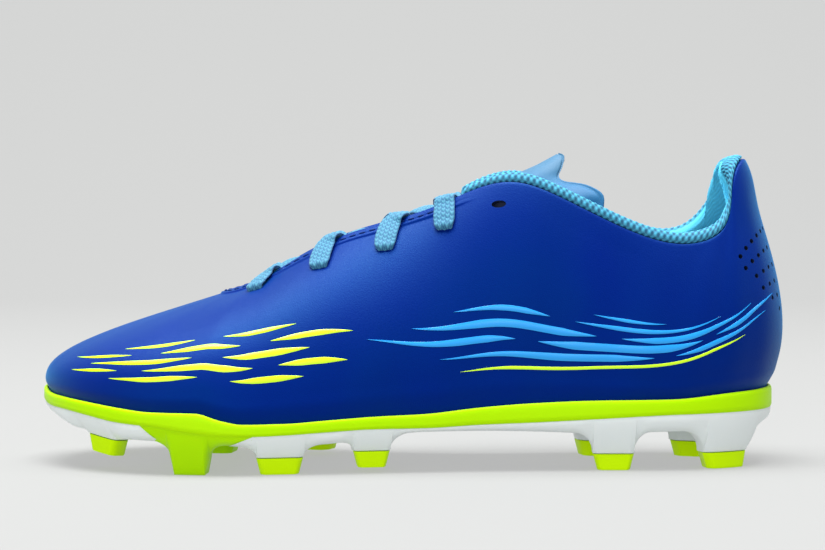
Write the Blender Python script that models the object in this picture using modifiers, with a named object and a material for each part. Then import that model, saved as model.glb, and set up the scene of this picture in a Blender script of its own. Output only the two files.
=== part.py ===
"""A left soccer cleat: hollow upper, padded collar, tongue, insole, flat lace and a studded two-colour sole.

Metres, +Z up. The toe points to -X and the outer (lateral) side to -Y. The origin is on the floor, at
the middle of the shoe's box. Run with: blender --background --python part.py
"""

import math

import bmesh
import bpy
import numpy as np
from mathutils import Matrix, Vector

# Overall sizes
SHOE_LENGTH = 0.236
BALL_WIDTH = 0.0835
COLLAR_HEIGHT = 0.0963
SOLE_HEIGHT = 0.025

# Walls and clearances
UPPER_WALL = 0.0016
THROAT_STEP = 0.0005
THROAT_BAND = 0.0040
RIM_WALL = 0.0013
PLATE_FLOOR = 0.0015
FIT_GAP = 0.0003
SEAM_GAP = 0.0002
COLLAR_GAP = 0.0006
LACE_ROOM = 0.0023

# Soft pieces
COLLAR_PAD = 0.0045
COLLAR_HEM = 0.0011
COLLAR_DEPTH = 0.0280
COLLAR_RISE = 0.0029
TONGUE_THICKNESS = 0.0025
INSOLE_THICKNESS = 0.0035
LACE_WIDTH = 0.0070
LACE_THICKNESS = 0.0012
EYELET_LENGTH = 0.0046
EYELET_WIDTH = 0.0024

# Studs
STUD_TIP_HEIGHT = 0.0050
STUD_DEPTH = 0.0088
STUD_INSET = 0.0093
STUD_FLARE = 0.0055
STUD_TAPER = 0.0013

# Number of places round the shoe
RING_PLACES = 72

# The last, heel to toe. "foot" and "edge" are shares of the shoe's length from its rear end, for the rim
# of the sole and for the top edge of the upper. The half widths are shares of the ball width, and the
# edge's height is a share of the collar height.
LAST = (
    # foot, foot_lateral, foot_medial, edge, edge_lateral, edge_medial, height
    (0.0145, 0.000, 0.000, 0.0590, 0.000, 0.000, 1.000),
    (0.0203, 0.101, 0.101, 0.0635, 0.088, 0.088, 0.993),
    (0.0360, 0.186, 0.186, 0.0710, 0.153, 0.153, 0.958),
    (0.0572, 0.241, 0.244, 0.0760, 0.189, 0.191, 0.898),
    (0.0826, 0.282, 0.287, 0.0810, 0.215, 0.220, 0.820),
    (0.1123, 0.312, 0.318, 0.0955, 0.238, 0.246, 0.764),
    (0.1440, 0.331, 0.337, 0.1250, 0.257, 0.267, 0.735),
    (0.1822, 0.342, 0.346, 0.1650, 0.273, 0.283, 0.737),
    (0.2246, 0.347, 0.340, 0.2119, 0.285, 0.293, 0.773),
    (0.2712, 0.347, 0.325, 0.2606, 0.290, 0.293, 0.828),
    (0.3178, 0.348, 0.306, 0.3093, 0.281, 0.281, 0.887),
    (0.3665, 0.353, 0.289, 0.3602, 0.255, 0.255, 0.930),
    (0.4174, 0.364, 0.282, 0.4110, 0.210, 0.210, 0.914),
    (0.4703, 0.383, 0.289, 0.4619, 0.168, 0.168, 0.858),
    (0.5254, 0.407, 0.316, 0.5212, 0.140, 0.140, 0.806),
    (0.5847, 0.436, 0.364, 0.5826, 0.125, 0.125, 0.761),
    (0.6483, 0.467, 0.424, 0.6377, 0.115, 0.115, 0.700),
    (0.7161, 0.497, 0.474, 0.6843, 0.101, 0.101, 0.632),
    (0.7881, 0.492, 0.500, 0.7161, 0.074, 0.074, 0.592),
    (0.8602, 0.441, 0.484, 0.7331, 0.044, 0.044, 0.577),
    (0.9280, 0.337, 0.400, 0.7395, 0.024, 0.024, 0.573),
    (0.9780, 0.176, 0.262, 0.7412, 0.010, 0.011, 0.572),
    (1.0000, -0.042, 0.042, 0.7415, 0.000, 0.000, 0.572),
)

# The sole's lines from heel to toe, at shares of the shoe's length: the top of the rim, the lime and
# white line, and the white frame's underside, as shares of the sole height.
SOLE_LINES = (
    # share, rim, line, under
    (0.000, 1.005, 0.735, 0.520),
    (0.080, 0.960, 0.720, 0.488),
    (0.160, 0.895, 0.704, 0.480),
    (0.258, 0.884, 0.656, 0.464),
    (0.343, 0.852, 0.616, 0.488),
    (0.415, 0.800, 0.592, 0.500),
    (0.483, 0.732, 0.560, 0.496),
    (0.551, 0.708, 0.556, 0.430),
    (0.610, 0.672, 0.530, 0.366),
    (0.665, 0.640, 0.500, 0.346),
    (0.718, 0.636, 0.488, 0.352),
    (0.750, 0.690, 0.494, 0.372),
    (0.780, 0.772, 0.520, 0.392),
    (0.840, 0.776, 0.602, 0.408),
    (0.890, 0.812, 0.644, 0.424),
    (0.924, 0.880, 0.700, 0.450),
    (0.960, 0.900, 0.752, 0.516),
    (0.988, 0.925, 0.776, 0.650),
    (1.000, 0.975, 0.830, 0.750),
)

# The upper's side from heel to toe, as two handles of one curve from the rim to the top edge. "rise" and
# "drop" are shares of that curve's height, "reach" of its way inward, "belly" and "brow" of ball width.
WALLS = (
    # share, rise, belly, reach, drop, brow
    (0.0145, 0.270, 0.138, 1.00, 0.34, 0.000),
    (0.0600, 0.270, 0.095, 1.00, 0.34, 0.010),
    (0.1120, 0.300, 0.068, 0.60, 0.30, 0.024),
    (0.2000, 0.320, 0.060, 0.50, 0.28, 0.036),
    (0.3000, 0.350, 0.056, 0.50, 0.24, 0.042),
    (0.4000, 0.400, 0.056, 0.50, 0.17, 0.036),
    (0.5000, 0.420, 0.060, 0.52, 0.13, 0.024),
    (0.6000, 0.430, 0.058, 0.56, 0.13, 0.012),
    (0.7000, 0.450, 0.052, 0.62, 0.14, 0.000),
    (0.8000, 0.460, 0.046, 0.66, 0.22, 0.000),
    (0.9000, 0.430, 0.046, 0.70, 0.33, 0.000),
    (1.0000, 0.330, 0.075, 0.72, 0.43, 0.000),
)

# Eyelets from toe to heel: rows of LAST where they sit, and distance below the edge as a share of the
# throat band.
EYELETS = (
    # turn, below
    (17.45, 1.35),
    (15.80, 1.75),
    (14.35, 1.90),
    (13.00, 1.90),
    (11.65, 1.85),
)

# Turn beside which the last crossing of the lace tucks in, short of the collar.
LACE_TUCK = 12.85

# Tongue rows from under the vamp to the collar: the row of LAST that its sides follow, how far down they
# reach as a share of the throat band, whether they run under the lace (1) or lie against the upper (0),
# and the crest line as shares of the shoe's length and of the collar height.
TONGUE = (
    # turn, side, under_lace, crest, height
    (18.30, 2.0, 0.00, 0.7627, 0.528),
    (17.60, 2.3, 0.35, 0.7245, 0.566),
    (16.80, 2.6, 1.00, 0.6864, 0.614),
    (15.90, 2.8, 1.00, 0.6356, 0.682),
    (15.00, 2.9, 1.00, 0.5763, 0.738),
    (14.10, 2.9, 1.00, 0.5212, 0.788),
    (13.20, 2.8, 1.00, 0.4661, 0.836),
    (12.30, 2.6, 1.00, 0.4131, 0.896),
    (11.40, 2.3, 1.00, 0.3686, 0.945),
    (10.60, 1.9, 1.00, 0.3326, 0.984),
)

# Share of the tongue's half width, from its crest, that shows between the upper's edges.
TONGUE_TUCK = 0.55

# Top edge of the tongue from its peak to the side: half width as a share of ball width, and shares of
# the shoe's length and of the collar height.
TONGUE_EDGE = (
    # half, share, height
    (0.000, 0.2970, 1.018),
    (0.045, 0.3010, 0.992),
    (0.090, 0.3030, 0.957),
    (0.160, 0.2740, 0.934),
    (0.203, 0.2480, 0.885),
    (0.209, 0.2470, 0.840),
)

# Studs: place of the rim beside each as a share of the shoe's length, side (-1 lateral, 1 medial), way in
# from the rim as a share of the stud inset, length of the face as a share of the shoe's length, share of
# the full flare, height of the face off the floor as a share of the tip's height, slope of the face, and
# the piece that carries it.
STUDS = (
    # name, share, side, inset, length, flare, lift, slope, carrier
    ("toe_lateral", 0.922, -1, 1.00, 0.034, 1.00, 1.02, -0.20, "toe"),
    ("toe_medial", 0.930, 1, 1.00, 0.034, 1.00, 1.02, -0.20, "toe"),
    ("ball_lateral", 0.792, -1, 1.00, 0.038, 0.50, 0.00, 0.00, "tray"),
    ("ball_medial", 0.763, 1, 1.60, 0.040, 0.50, 0.00, 0.00, "tray"),
    ("fore_lateral", 0.668, -1, 1.00, 0.050, 0.55, 0.00, 0.00, "rear"),
    ("fore_medial", 0.615, 1, 1.30, 0.042, 1.00, 0.32, 0.00, "rear"),
    ("waist_lateral", 0.5485, -1, 1.00, 0.037, 0.80, 0.32, 0.00, "rear"),
    ("heel_front_lateral", 0.234, -1, 1.00, 0.043, 1.00, 0.00, 0.00, "rear"),
    ("heel_front_medial", 0.251, 1, 1.00, 0.043, 1.00, 0.00, 0.00, "rear"),
    ("heel_back_lateral", 0.068, -1, 1.00, 0.052, 1.00, 0.00, 0.00, "rear"),
    ("heel_back_medial", 0.100, 1, 1.00, 0.052, 1.00, 0.00, 0.00, "rear"),
)

# Where the white frames stop on each side of the lime band under the ball: a point of each cut as shares
# of the shoe's length and the sole height, the cut's lean in the side view in radians, and its skew in
# the plan.
TOE_CUT = (0.839, 0.520, 0.870, 0.09)
REAR_CUT = (0.717, 0.430, 1.190, 0.09)

ROWS = len(LAST) - 1
RING = 2 * ROWS
COLLAR_END = 12.35
UP = np.array((0.0, 0.0, 1.0))


def closed_spline(knots):
    """Smooth closed curve through evenly numbered knots, as a function of the place along them."""
    knots = np.asarray(knots, float)
    count = len(knots)
    step = np.eye(count)
    system = 4 * step + np.roll(step, 1, axis=0) + np.roll(step, -1, axis=0)
    second = np.roll(knots, 1, axis=0) - 2 * knots + np.roll(knots, -1, axis=0)
    bend = np.linalg.solve(system, 6 * second)

    def at(turn):
        turn = np.asarray(turn, float) % count
        low = np.floor(turn).astype(int) % count
        high = (low + 1) % count
        f = (turn - np.floor(turn))[..., None]
        bow = ((1 - f) ** 3 * bend[low] + f**3 * bend[high]) / 6
        return bow + (knots[low] - bend[low] / 6) * (1 - f) + (knots[high] - bend[high] / 6) * f

    return at


def column(table, index, place):
    """Smooth value of one column of a table at a place in its first column, without overshoot."""
    rows = np.array([row[:1] + row[index:index + 1] for row in table], float)
    x, y = rows[:, 0], rows[:, 1]
    gap = np.diff(x)
    rate = np.diff(y) / gap
    slope = np.zeros(len(x))
    for i in range(1, len(x) - 1):
        if rate[i - 1] * rate[i] > 0:
            slope[i] = 2 / (1 / rate[i - 1] + 1 / rate[i])
    slope[0], slope[-1] = rate[0], rate[-1]
    place = np.clip(place, x[0], x[-1])
    i = np.clip(np.searchsorted(x, place, side="right") - 1, 0, len(gap) - 1)
    f = (place - x[i]) / gap[i]
    start = (1 + 2 * f) * (1 - f) ** 2 * y[i] + f * (1 - f) ** 2 * gap[i] * slope[i]
    end = f**2 * (3 - 2 * f) * y[i + 1] + f**2 * (f - 1) * gap[i] * slope[i + 1]
    return start + end


def along(share):
    """World x of a share of the shoe's length, from the rear end."""
    return SHOE_LENGTH * (0.5 - share)


def ring_of(sides):
    """Closed ring of knots, heel to toe on the lateral side and back on the medial side."""
    lateral = [(along(x), -lat * BALL_WIDTH, z * COLLAR_HEIGHT) for x, lat, _, z in sides]
    medial = [(along(x), med * BALL_WIDTH, z * COLLAR_HEIGHT) for x, _, med, z in sides]
    return lateral + medial[-2:0:-1]


FOOT = closed_spline(ring_of([(row[0], row[1], row[2], 0.0) for row in LAST]))
EDGE = closed_spline(ring_of([(row[3], row[4], row[5], row[6]) for row in LAST]))


def foot_frame(turn):
    """Rim point, outward direction in the plan, and share of the length at a turn of the ring."""
    point = FOOT(turn)
    tangent = FOOT(np.asarray(turn) + 0.01) - FOOT(np.asarray(turn) - 0.01)
    out = np.stack([-tangent[..., 1], tangent[..., 0], 0 * tangent[..., 0]], axis=-1)
    out /= np.linalg.norm(out, axis=-1, keepdims=True)
    return point, out, 0.5 - point[..., 0] / SHOE_LENGTH


def sole_line(index, share):
    return SOLE_HEIGHT * column(SOLE_LINES, index, share)


def floor_top(share):
    return sole_line(2, share) + PLATE_FLOOR


def sole_ring(turns, inset, height):
    """Ring of points set in from the rim, at heights that a function of the share gives."""
    point, out, share = foot_frame(turns)
    ring = point - out * inset
    ring[..., 2] = height(share)
    return ring


def skin(turn, v):
    """Outer face of the upper, from v = 0 at the rim to v = 1 at the top edge."""
    rim, out, share = foot_frame(turn)
    base = rim - out * (RIM_WALL + FIT_GAP)
    base[..., 2] = sole_line(1, share)
    top = EDGE(turn)
    rise, belly, reach, drop, brow = (column(WALLS, i, share)[..., None] for i in range(1, 6))
    tall = (top - base)[..., 2:]
    inward = (top - base) * (1, 1, 0)
    low = base + out * belly * BALL_WIDTH + UP * rise * tall
    high = top - inward * reach - UP * drop * tall + out * brow * BALL_WIDTH
    v = np.asarray(v, float)[..., None]
    return (1 - v) ** 3 * base + 3 * v * (1 - v) ** 2 * low + 3 * v**2 * (1 - v) * high + v**3 * top


def skin_normal(turn, v):
    round_way = skin(turn + 0.02, v) - skin(turn - 0.02, v)
    up_way = skin(turn, np.minimum(v + 0.004, 1.0)) - skin(turn, np.minimum(v + 0.004, 1.0) - 0.008)
    normal = np.cross(up_way, round_way)
    return normal / np.linalg.norm(normal, axis=-1, keepdims=True)


def level_below(turn, distance):
    """The v that lies a distance below the top edge, and how far it would be past that edge."""
    turn, distance = np.broadcast_arrays(np.asarray(turn, float), np.asarray(distance, float))
    steps = np.linspace(1, 0, 49)
    path = skin(turn.reshape(-1, 1), steps[None, :])
    run = np.linalg.norm(np.diff(path, axis=1), axis=-1).cumsum(axis=1)
    level = [np.interp(d, np.append(0, r), steps) for d, r in zip(distance.reshape(-1), run)]
    return np.reshape(level, turn.shape), np.maximum(-distance, 0)


def wall(turn, distance, depth):
    """Point at a distance below the top edge and a depth in from the outer face."""
    turn = np.asarray(turn, float)
    level, past = level_below(turn, distance)
    turn = np.broadcast_to(turn, level.shape)
    point = skin(turn, level)
    rising = skin(turn, level) - skin(turn, level - 0.01)
    rising /= np.linalg.norm(rising, axis=-1, keepdims=True)
    return point + rising * past[..., None] - skin_normal(turn, level) * np.asarray(depth)[..., None]


def even_turns():
    """Turns that are evenly spread along the foot and the top edge together."""
    fine = np.linspace(0, RING, 40 * RING + 1)
    run = [np.linalg.norm(np.diff(curve(fine), axis=0), axis=-1) for curve in (FOOT, EDGE)]
    way = np.append(0, (run[0] + run[1]).cumsum())
    half = np.interp(np.linspace(0, way[20 * RING], RING_PLACES // 2 + 1), way, fine)
    return np.concatenate([half, RING - half[-2:0:-1]])


def side_turn(share, side):
    """Turn of the ring where the rim passes a share of the length on the lateral or medial side."""
    turns = np.linspace(0, ROWS, 20 * ROWS + 1) * -side
    shares = 0.5 - FOOT(turns)[:, 0] / SHOE_LENGTH
    return float(np.interp(share, shares, turns))


def throat_window(turn):
    """1 along the throat and 0 at the collar, with a soft step between."""
    row = np.minimum(turn % RING, RING - turn % RING)
    f = np.clip((row - 12.0) / 0.9, 0, 1)
    return f * f * (3 - 2 * f)


def new_material(name, colour, roughness):
    material = bpy.data.materials.new(name)
    material.use_nodes = True
    shader = material.node_tree.nodes["Principled BSDF"]
    shader.inputs["Base Color"].default_value = (*colour, 1.0)
    shader.inputs["Roughness"].default_value = roughness
    material.diffuse_color = (*colour, 1.0)
    return material


def add_object(name, mesh_builder, collection, material=None):
    """Object from a bmesh, with its faces turned outward."""
    bmesh.ops.remove_doubles(mesh_builder, verts=mesh_builder.verts, dist=1e-6)
    bmesh.ops.recalc_face_normals(mesh_builder, faces=mesh_builder.faces)
    if mesh_builder.calc_volume(signed=True) < 0:
        bmesh.ops.reverse_faces(mesh_builder, faces=mesh_builder.faces)
    mesh = bpy.data.meshes.new(name)
    mesh_builder.to_mesh(mesh)
    mesh_builder.free()
    mesh.shade_smooth()
    mesh.set_sharp_from_angle(angle=math.radians(35))
    made = bpy.data.objects.new(name, mesh)
    if material:
        mesh.materials.append(material)
    collection.objects.link(made)
    return made


def bridge(builder, first, second):
    count = len(first)
    for i in range(count):
        j = (i + 1) % count
        builder.faces.new((first[i], first[j], second[j]))
        builder.faces.new((first[i], second[j], second[i]))


def ladder(builder, ring):
    """Closes a ring of the shoe's plan with rungs from its lateral to its medial side."""
    count = len(ring)
    builder.faces.new((ring[0], ring[1], ring[-1]))
    for i in range(1, count // 2 - 1):
        builder.faces.new((ring[i], ring[i + 1], ring[count - i - 1]))
        builder.faces.new((ring[i], ring[count - i - 1], ring[count - i]))
    middle = count // 2
    builder.faces.new((ring[middle - 1], ring[middle], ring[middle + 1]))


def rings_builder(rings, closed):
    """Loft through rings: closed joins the last ring to the first, otherwise both ends get ladders."""
    builder = bmesh.new()
    loops = [[builder.verts.new(point) for point in ring] for ring in rings]
    for first, second in zip(loops, loops[1:]):
        bridge(builder, first, second)
    if closed:
        bridge(builder, loops[-1], loops[0])
    else:
        ladder(builder, loops[0])
        ladder(builder, loops[-1])
    return builder


def add_boolean(target, other, operation):
    other.hide_render = True
    other.display_type = "WIRE"
    modifier = target.modifiers.new(f"{operation.lower()}_{other.name}", "BOOLEAN")
    modifier.operation = operation
    modifier.object = other


def slab_builder(overlap):
    """The layer between the lime and white line and the sole's underside, over the whole plan.

    overlap is how far its top reaches above the line, or stays below it where it is negative."""
    turns = even_turns()

    def layer(part):
        return lambda share: sole_line(2, share) * (1 - part) + sole_line(3, share) * part

    def top(share):
        return sole_line(2, share) + overlap

    levels = ((0.50, 0.0014), (0.85, 0.0026), (1.0, 0.0046), (1.0, 0.0130), (0.72, 0.0155))
    rings = [sole_ring(turns, 0.0022 if overlap > 0 else 0.0008, top)]
    if overlap > 0:
        rings.append(sole_ring(turns, 0.0008, layer(0.0)))
    rings += [sole_ring(turns, inset, layer(part)) for part, inset in levels]
    return rings_builder(rings, False)


def cut_plane(cut, rising):
    """Point and normal, towards the heel, of a cut that leans up towards the toe or towards the heel."""
    share, height, lean, skew = cut
    normal = Vector((math.cos(lean), -skew * math.cos(lean), rising * math.sin(lean))).normalized()
    return Vector((along(share), -0.36 * BALL_WIDTH, height * SOLE_HEIGHT)), normal


def clip(builder, point, normal):
    """Removes what lies beyond a plane and closes the cut."""
    everything = builder.verts[:] + builder.edges[:] + builder.faces[:]
    bmesh.ops.bisect_plane(builder, geom=everything, plane_co=point, plane_no=normal, clear_outer=True)
    loose = [edge for edge in builder.edges if edge.is_boundary]
    bmesh.ops.contextual_create(builder, geom=loose)


def stud_frame(stud):
    """Middle of a stud's face, the rim's direction beside it, and the way out."""
    rim, out, _ = foot_frame(np.array(side_turn(stud[1], stud[2])))
    return rim - out * stud[3] * STUD_INSET, np.array((-out[1], out[0], 0.0)), out


def stud_loop(stud, grow, height, slope):
    """Ring of one stud: a blade with two bevelled inner corners, grown by a margin."""
    centre, run, out = stud_frame(stud)
    half_run = stud[4] * SHOE_LENGTH / 2
    outline = (
        (-1.0, 0.60), (-0.78, 1.0), (0.78, 1.0), (1.0, 0.60),
        (1.0, -0.30), (0.55, -1.0), (-0.55, -1.0), (-1.0, -0.30),
    )
    ring = []
    for a, b in outline:
        reach = grow * (0.15 if b > 0 else 0.85)
        point = centre + run * a * (half_run + grow) + out * b * (STUD_DEPTH / 2 + reach)
        ring.append((point[0], point[1], height + slope * (point[0] - centre[0])))
    return ring


def stud_levels(stud, seam, top):
    """Height, margin and slope up a stud: its face and the tip's seam, then the flare into the sole."""
    spread, slope = stud[5] * STUD_FLARE, stud[7]
    lift = stud[6] * STUD_TIP_HEIGHT
    bevel = 0.07 * STUD_TIP_HEIGHT
    seam_height = lift + STUD_TIP_HEIGHT
    tip = [(lift, -bevel, slope), (lift + bevel, 0.0, slope), (seam_height, STUD_TAPER, slope)]
    start = seam_height + seam
    flare = ((0.0, 0.0), (0.45, 0.12), (0.75, 0.42), (1.0, 1.0))
    base = [(start + (top - start) * f, STUD_TAPER + spread * g, slope * (1 - f)) for f, g in flare]
    return tip, base


def stud_builder(stud, levels, embed):
    """Loft of one stud's levels, with a last one set into the piece that carries it."""
    builder = bmesh.new()
    levels = list(levels)
    if embed:
        height, grow, slope = levels[-1]
        levels.append((height + embed, 0.8 * grow, slope))
    loops = []
    for height, grow, slope in levels:
        loops.append([builder.verts.new(p) for p in stud_loop(stud, grow, height, slope)])
    for first, second in zip(loops, loops[1:]):
        bridge(builder, first, second)
    builder.faces.new(loops[0])
    builder.faces.new(loops[-1])
    return builder


def build_sole(collection, cutters, lime, white):
    """Lime tray with its rim and ball studs, two white frames, and a lime tip on each white base."""
    turns = even_turns()

    def rim(part):
        return lambda share: sole_line(2, share) * (1 - part) + sole_line(1, share) * part

    outer = ((0.0, 0.0008), (0.45, 0.0), (0.94, 0.0001), (1.0, 0.0006))
    rings = [sole_ring(turns, inset, rim(part)) for part, inset in outer]
    rings.append(sole_ring(turns, RIM_WALL, rim(1.0)))
    rings.append(sole_ring(turns, RIM_WALL, floor_top))
    tray = add_object("outsole_tray", rings_builder(rings, False), collection, lime)

    front, front_normal = cut_plane(TOE_CUT, 1)
    rear, rear_normal = cut_plane(REAR_CUT, -1)
    band = slab_builder(PLATE_FLOOR / 3)
    clip(band, front, -front_normal)
    clip(band, rear, rear_normal)
    add_boolean(tray, add_object("ball_band", band, cutters), "UNION")

    toe = slab_builder(-SEAM_GAP)
    clip(toe, front - front_normal * SEAM_GAP, front_normal)
    toe = add_object("outsole_toe_frame", toe, collection, white)
    back = slab_builder(-SEAM_GAP)
    clip(back, rear + rear_normal * SEAM_GAP, -rear_normal)
    back = add_object("outsole_rear_frame", back, collection, white)

    carriers = {"tray": tray, "toe": toe, "rear": back}
    for stud in STUDS:
        name, carrier = stud[0], stud[8]
        share = 0.5 - stud_frame(stud)[0][0] / SHOE_LENGTH
        under = sole_line(3, share)
        embed = 0.25 * (sole_line(2, share) - under)
        seam = 0.0 if carrier == "tray" else SEAM_GAP
        tip, base = stud_levels(stud, seam, under + embed)
        if carrier == "tray":
            builder = stud_builder(stud, tip + base[1:], embed)
        else:
            builder = stud_builder(stud, base, embed)
            add_object(f"stud_tip_{name}", stud_builder(stud, tip, 0.0), collection, lime)
        add_boolean(carriers[carrier], add_object(f"stud_base_{name}", builder, cutters), "UNION")


def upper_levels(turns):
    """Distances below the top edge of the upper's rings, from the rim to the edge strip."""
    path = skin(turns[:, None], np.linspace(0, 1, 33)[None, :])
    length = np.linalg.norm(np.diff(path, axis=1), axis=-1).sum(axis=1)
    strip = 1.5 * THROAT_BAND
    shares = (1.0, 0.86, 0.70, 0.53, 0.36, 0.18, 0.0)
    return [strip + (length - strip) * share for share in shares]


def build_upper(collection, cutters, material):
    """One hollow wall from the plate to the top edge, with a raised strip round the throat."""
    turns = even_turns()
    window = throat_window(turns)
    levels = upper_levels(turns)
    foot = sole_ring(turns, RIM_WALL + FIT_GAP, lambda share: floor_top(share) + FIT_GAP)
    foot_inner = sole_ring(turns, RIM_WALL + FIT_GAP + UPPER_WALL, lambda share: floor_top(share) + FIT_GAP)
    outer = [foot] + [wall(turns, level, 0.0) for level in levels]
    ramp = 0.1 * THROAT_BAND
    steps = ((THROAT_BAND + ramp, 0.0), (THROAT_BAND, 1.0), (ramp, 1.0), (0.0, 0.4))
    outer += [wall(turns, below, -THROAT_STEP * raised * window) for below, raised in steps]
    inner = [wall(turns, below, UPPER_WALL) for below in (0.0, THROAT_BAND)]
    inner += [wall(turns, level, UPPER_WALL) for level in levels[::-1]]
    upper = add_object("upper", rings_builder(outer + inner + [foot_inner], True), collection, material)

    holes = bmesh.new()
    for turn, below in EYELETS:
        for place in (turn, RING - turn):
            add_eyelet_cutter(holes, place, below * THROAT_BAND)
    add_boolean(upper, add_object("eyelet_cutters", holes, cutters), "DIFFERENCE")


def eyelet_frame(turn, below):
    """Middle of the wall at an eyelet, the throat's direction there, and the outward normal."""
    centre = wall(turn, below, UPPER_WALL / 2)
    run = wall(turn + 0.1, below, 0.0) - wall(turn - 0.1, below, 0.0)
    run /= np.linalg.norm(run)
    normal = skin_normal(np.array(turn), level_below(turn, below)[0])
    return centre, run, normal


def add_eyelet_cutter(builder, turn, below):
    """Oval pin through the wall, long along the throat."""
    centre, run, normal = eyelet_frame(turn, below)
    across = np.cross(normal, run)
    matrix = Matrix.Identity(4)
    for index, axis in enumerate((run * EYELET_LENGTH, across * EYELET_WIDTH, normal * 4 * UPPER_WALL)):
        matrix.col[index].xyz = axis
    matrix.translation = centre
    bmesh.ops.create_cone(
        builder, cap_ends=True, segments=10, radius1=0.5, radius2=0.5, depth=1.0, matrix=matrix
    )


def build_collar(collection, material):
    """Padded roll inside the collar and heel, turned over the upper's edge."""
    inside = UPPER_WALL + COLLAR_GAP
    full = inside + COLLAR_PAD
    hem = inside + COLLAR_HEM
    section = (
        # distance below the edge, depth in from the outer face
        (COLLAR_DEPTH, hem), (0.85 * COLLAR_DEPTH, hem), (0.55 * COLLAR_DEPTH, 0.5 * (full + hem)),
        (0.25 * COLLAR_DEPTH, 0.96 * full), (0.06 * COLLAR_DEPTH, full), (-0.45 * COLLAR_RISE, 0.95 * full),
        (-0.90 * COLLAR_RISE, 0.75 * full), (-COLLAR_RISE, 0.45 * full), (-0.85 * COLLAR_RISE, 0.7 * UPPER_WALL),
        (-0.50 * COLLAR_RISE, 0.05 * UPPER_WALL), (-3 * FIT_GAP, 0.2 * UPPER_WALL), (-3 * FIT_GAP, inside),
        (0.0, inside), (1.5 * THROAT_BAND, inside), (0.60 * COLLAR_DEPTH, inside), (COLLAR_DEPTH, inside),
    )
    turns = even_turns()
    near = turns[turns < COLLAR_END - 0.2]
    turns = np.concatenate([[-COLLAR_END], -near[:0:-1], near, [COLLAR_END]])
    rings = [wall(turns, below, depth) for below, depth in section]
    builder = bmesh.new()
    grid = [[builder.verts.new(point) for point in ring] for ring in rings]
    count = len(grid)
    for i in range(len(turns) - 1):
        for k in range(count):
            n = (k + 1) % count
            builder.faces.new((grid[k][i], grid[k][i + 1], grid[n][i + 1]))
            builder.faces.new((grid[k][i], grid[n][i + 1], grid[n][i]))
    builder.faces.new([row[0] for row in grid])
    builder.faces.new([row[-1] for row in grid])
    add_object("collar_lining", builder, collection, material)


def tongue_point(place, across):
    """Point of the tongue's top face: across runs from -1, the lateral side, over 0, the crest, to 1."""
    keyed = [(i, *row) for i, row in enumerate(TONGUE)]
    turn, side, under, crest, height = (float(column(keyed, i, place)) for i in range(1, 6))
    lining = float(np.clip((13.1 - turn) / 0.8, 0, 1))
    depth = UPPER_WALL + FIT_GAP + under * LACE_ROOM
    depth += lining * (COLLAR_PAD + COLLAR_GAP + FIT_GAP - LACE_ROOM)
    side_turn_here = turn if across < 0 else RING - turn
    inner = 0.1 * THROAT_BAND
    out = abs(across)
    if out >= TONGUE_TUCK:
        share = (out - TONGUE_TUCK) / (1 - TONGUE_TUCK)
        return wall(side_turn_here, inner + share * (side * THROAT_BAND - inner), depth)
    start = wall(side_turn_here, inner, depth)
    way = start - wall(side_turn_here, inner + 0.001, depth)
    middle = np.array((along(crest), 0.0, height * COLLAR_HEIGHT))
    reach = 0.36 * np.linalg.norm(middle - start)
    level = np.array((0.0, math.copysign(reach, start[1]), 0.0))
    handles = (start, start + way * reach / np.linalg.norm(way), middle + level, middle)
    f = 1 - out / TONGUE_TUCK
    weights = ((1 - f) ** 3, 3 * f * (1 - f) ** 2, 3 * f**2 * (1 - f), f**3)
    return sum(w * p for w, p in zip(weights, handles))


def tongue_normal(place, across):
    run = tongue_point(place + 0.1, across) - tongue_point(place - 0.1, across)
    over = tongue_point(place, min(across + 0.05, 1.0)) - tongue_point(place, max(across - 0.05, -1.0))
    normal = np.cross(over, run)
    normal *= math.copysign(1.0, normal[2])
    return normal / np.linalg.norm(normal)


def tongue_edge_row():
    """Top edge of the tongue, with its peak and its two ears."""
    half = [np.array((along(share), -width * BALL_WIDTH, height * COLLAR_HEIGHT))
            for width, share, height in TONGUE_EDGE[::-1]]
    half.insert(0, half[0] + (half[0] - half[1]) * 0.5)
    return half + [point * (1, -1, 1) for point in half[-2::-1]]


def build_tongue(collection, material):
    across = np.linspace(-1, 1, 13)
    places = np.linspace(0, len(TONGUE) - 1, 15)
    rows = [[tongue_point(place, a) for a in across] for place in places]
    rows.append(tongue_edge_row())
    builder = bmesh.new()
    grid = [[builder.verts.new(point) for point in row] for row in rows]
    for first, second in zip(grid, grid[1:]):
        for i in range(len(first) - 1):
            builder.faces.new((first[i], first[i + 1], second[i + 1], second[i]))
    for face in builder.faces:
        face.normal_update()
    if sum(face.normal.z for face in builder.faces) < 0:
        bmesh.ops.reverse_faces(builder, faces=builder.faces)
    mesh = bpy.data.meshes.new("tongue")
    builder.to_mesh(mesh)
    builder.free()
    mesh.shade_smooth()
    mesh.materials.append(material)
    tongue = bpy.data.objects.new("tongue", mesh)
    collection.objects.link(tongue)
    thicken = tongue.modifiers.new("thickness", "SOLIDIFY")
    thicken.thickness = TONGUE_THICKNESS
    thicken.offset = -1.0


def build_insole(collection, material):
    """Foot bed on the plate, inside the foot of the upper's wall, with a raised edge round the heel."""
    turns = even_turns()
    edge = RIM_WALL + 2 * FIT_GAP + UPPER_WALL

    def level(part, cup):
        def height(share):
            heel = np.clip((0.30 - share) / 0.2, 0, 1)
            return floor_top(share) + FIT_GAP + part * INSOLE_THICKNESS + cup * heel * INSOLE_THICKNESS
        return height

    bed = (
        (edge + 0.0012, level(0.0, 0.0)), (edge, level(0.25, 0.0)), (edge, level(0.85, 0.5)),
        (edge + 0.0010, level(1.0, 0.6)), (edge + 0.0060, level(1.0, 0.0)),
    )
    rings = [sole_ring(turns, inset, height) for inset, height in bed]
    add_object("insole", rings_builder(rings, False), collection, material)


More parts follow.
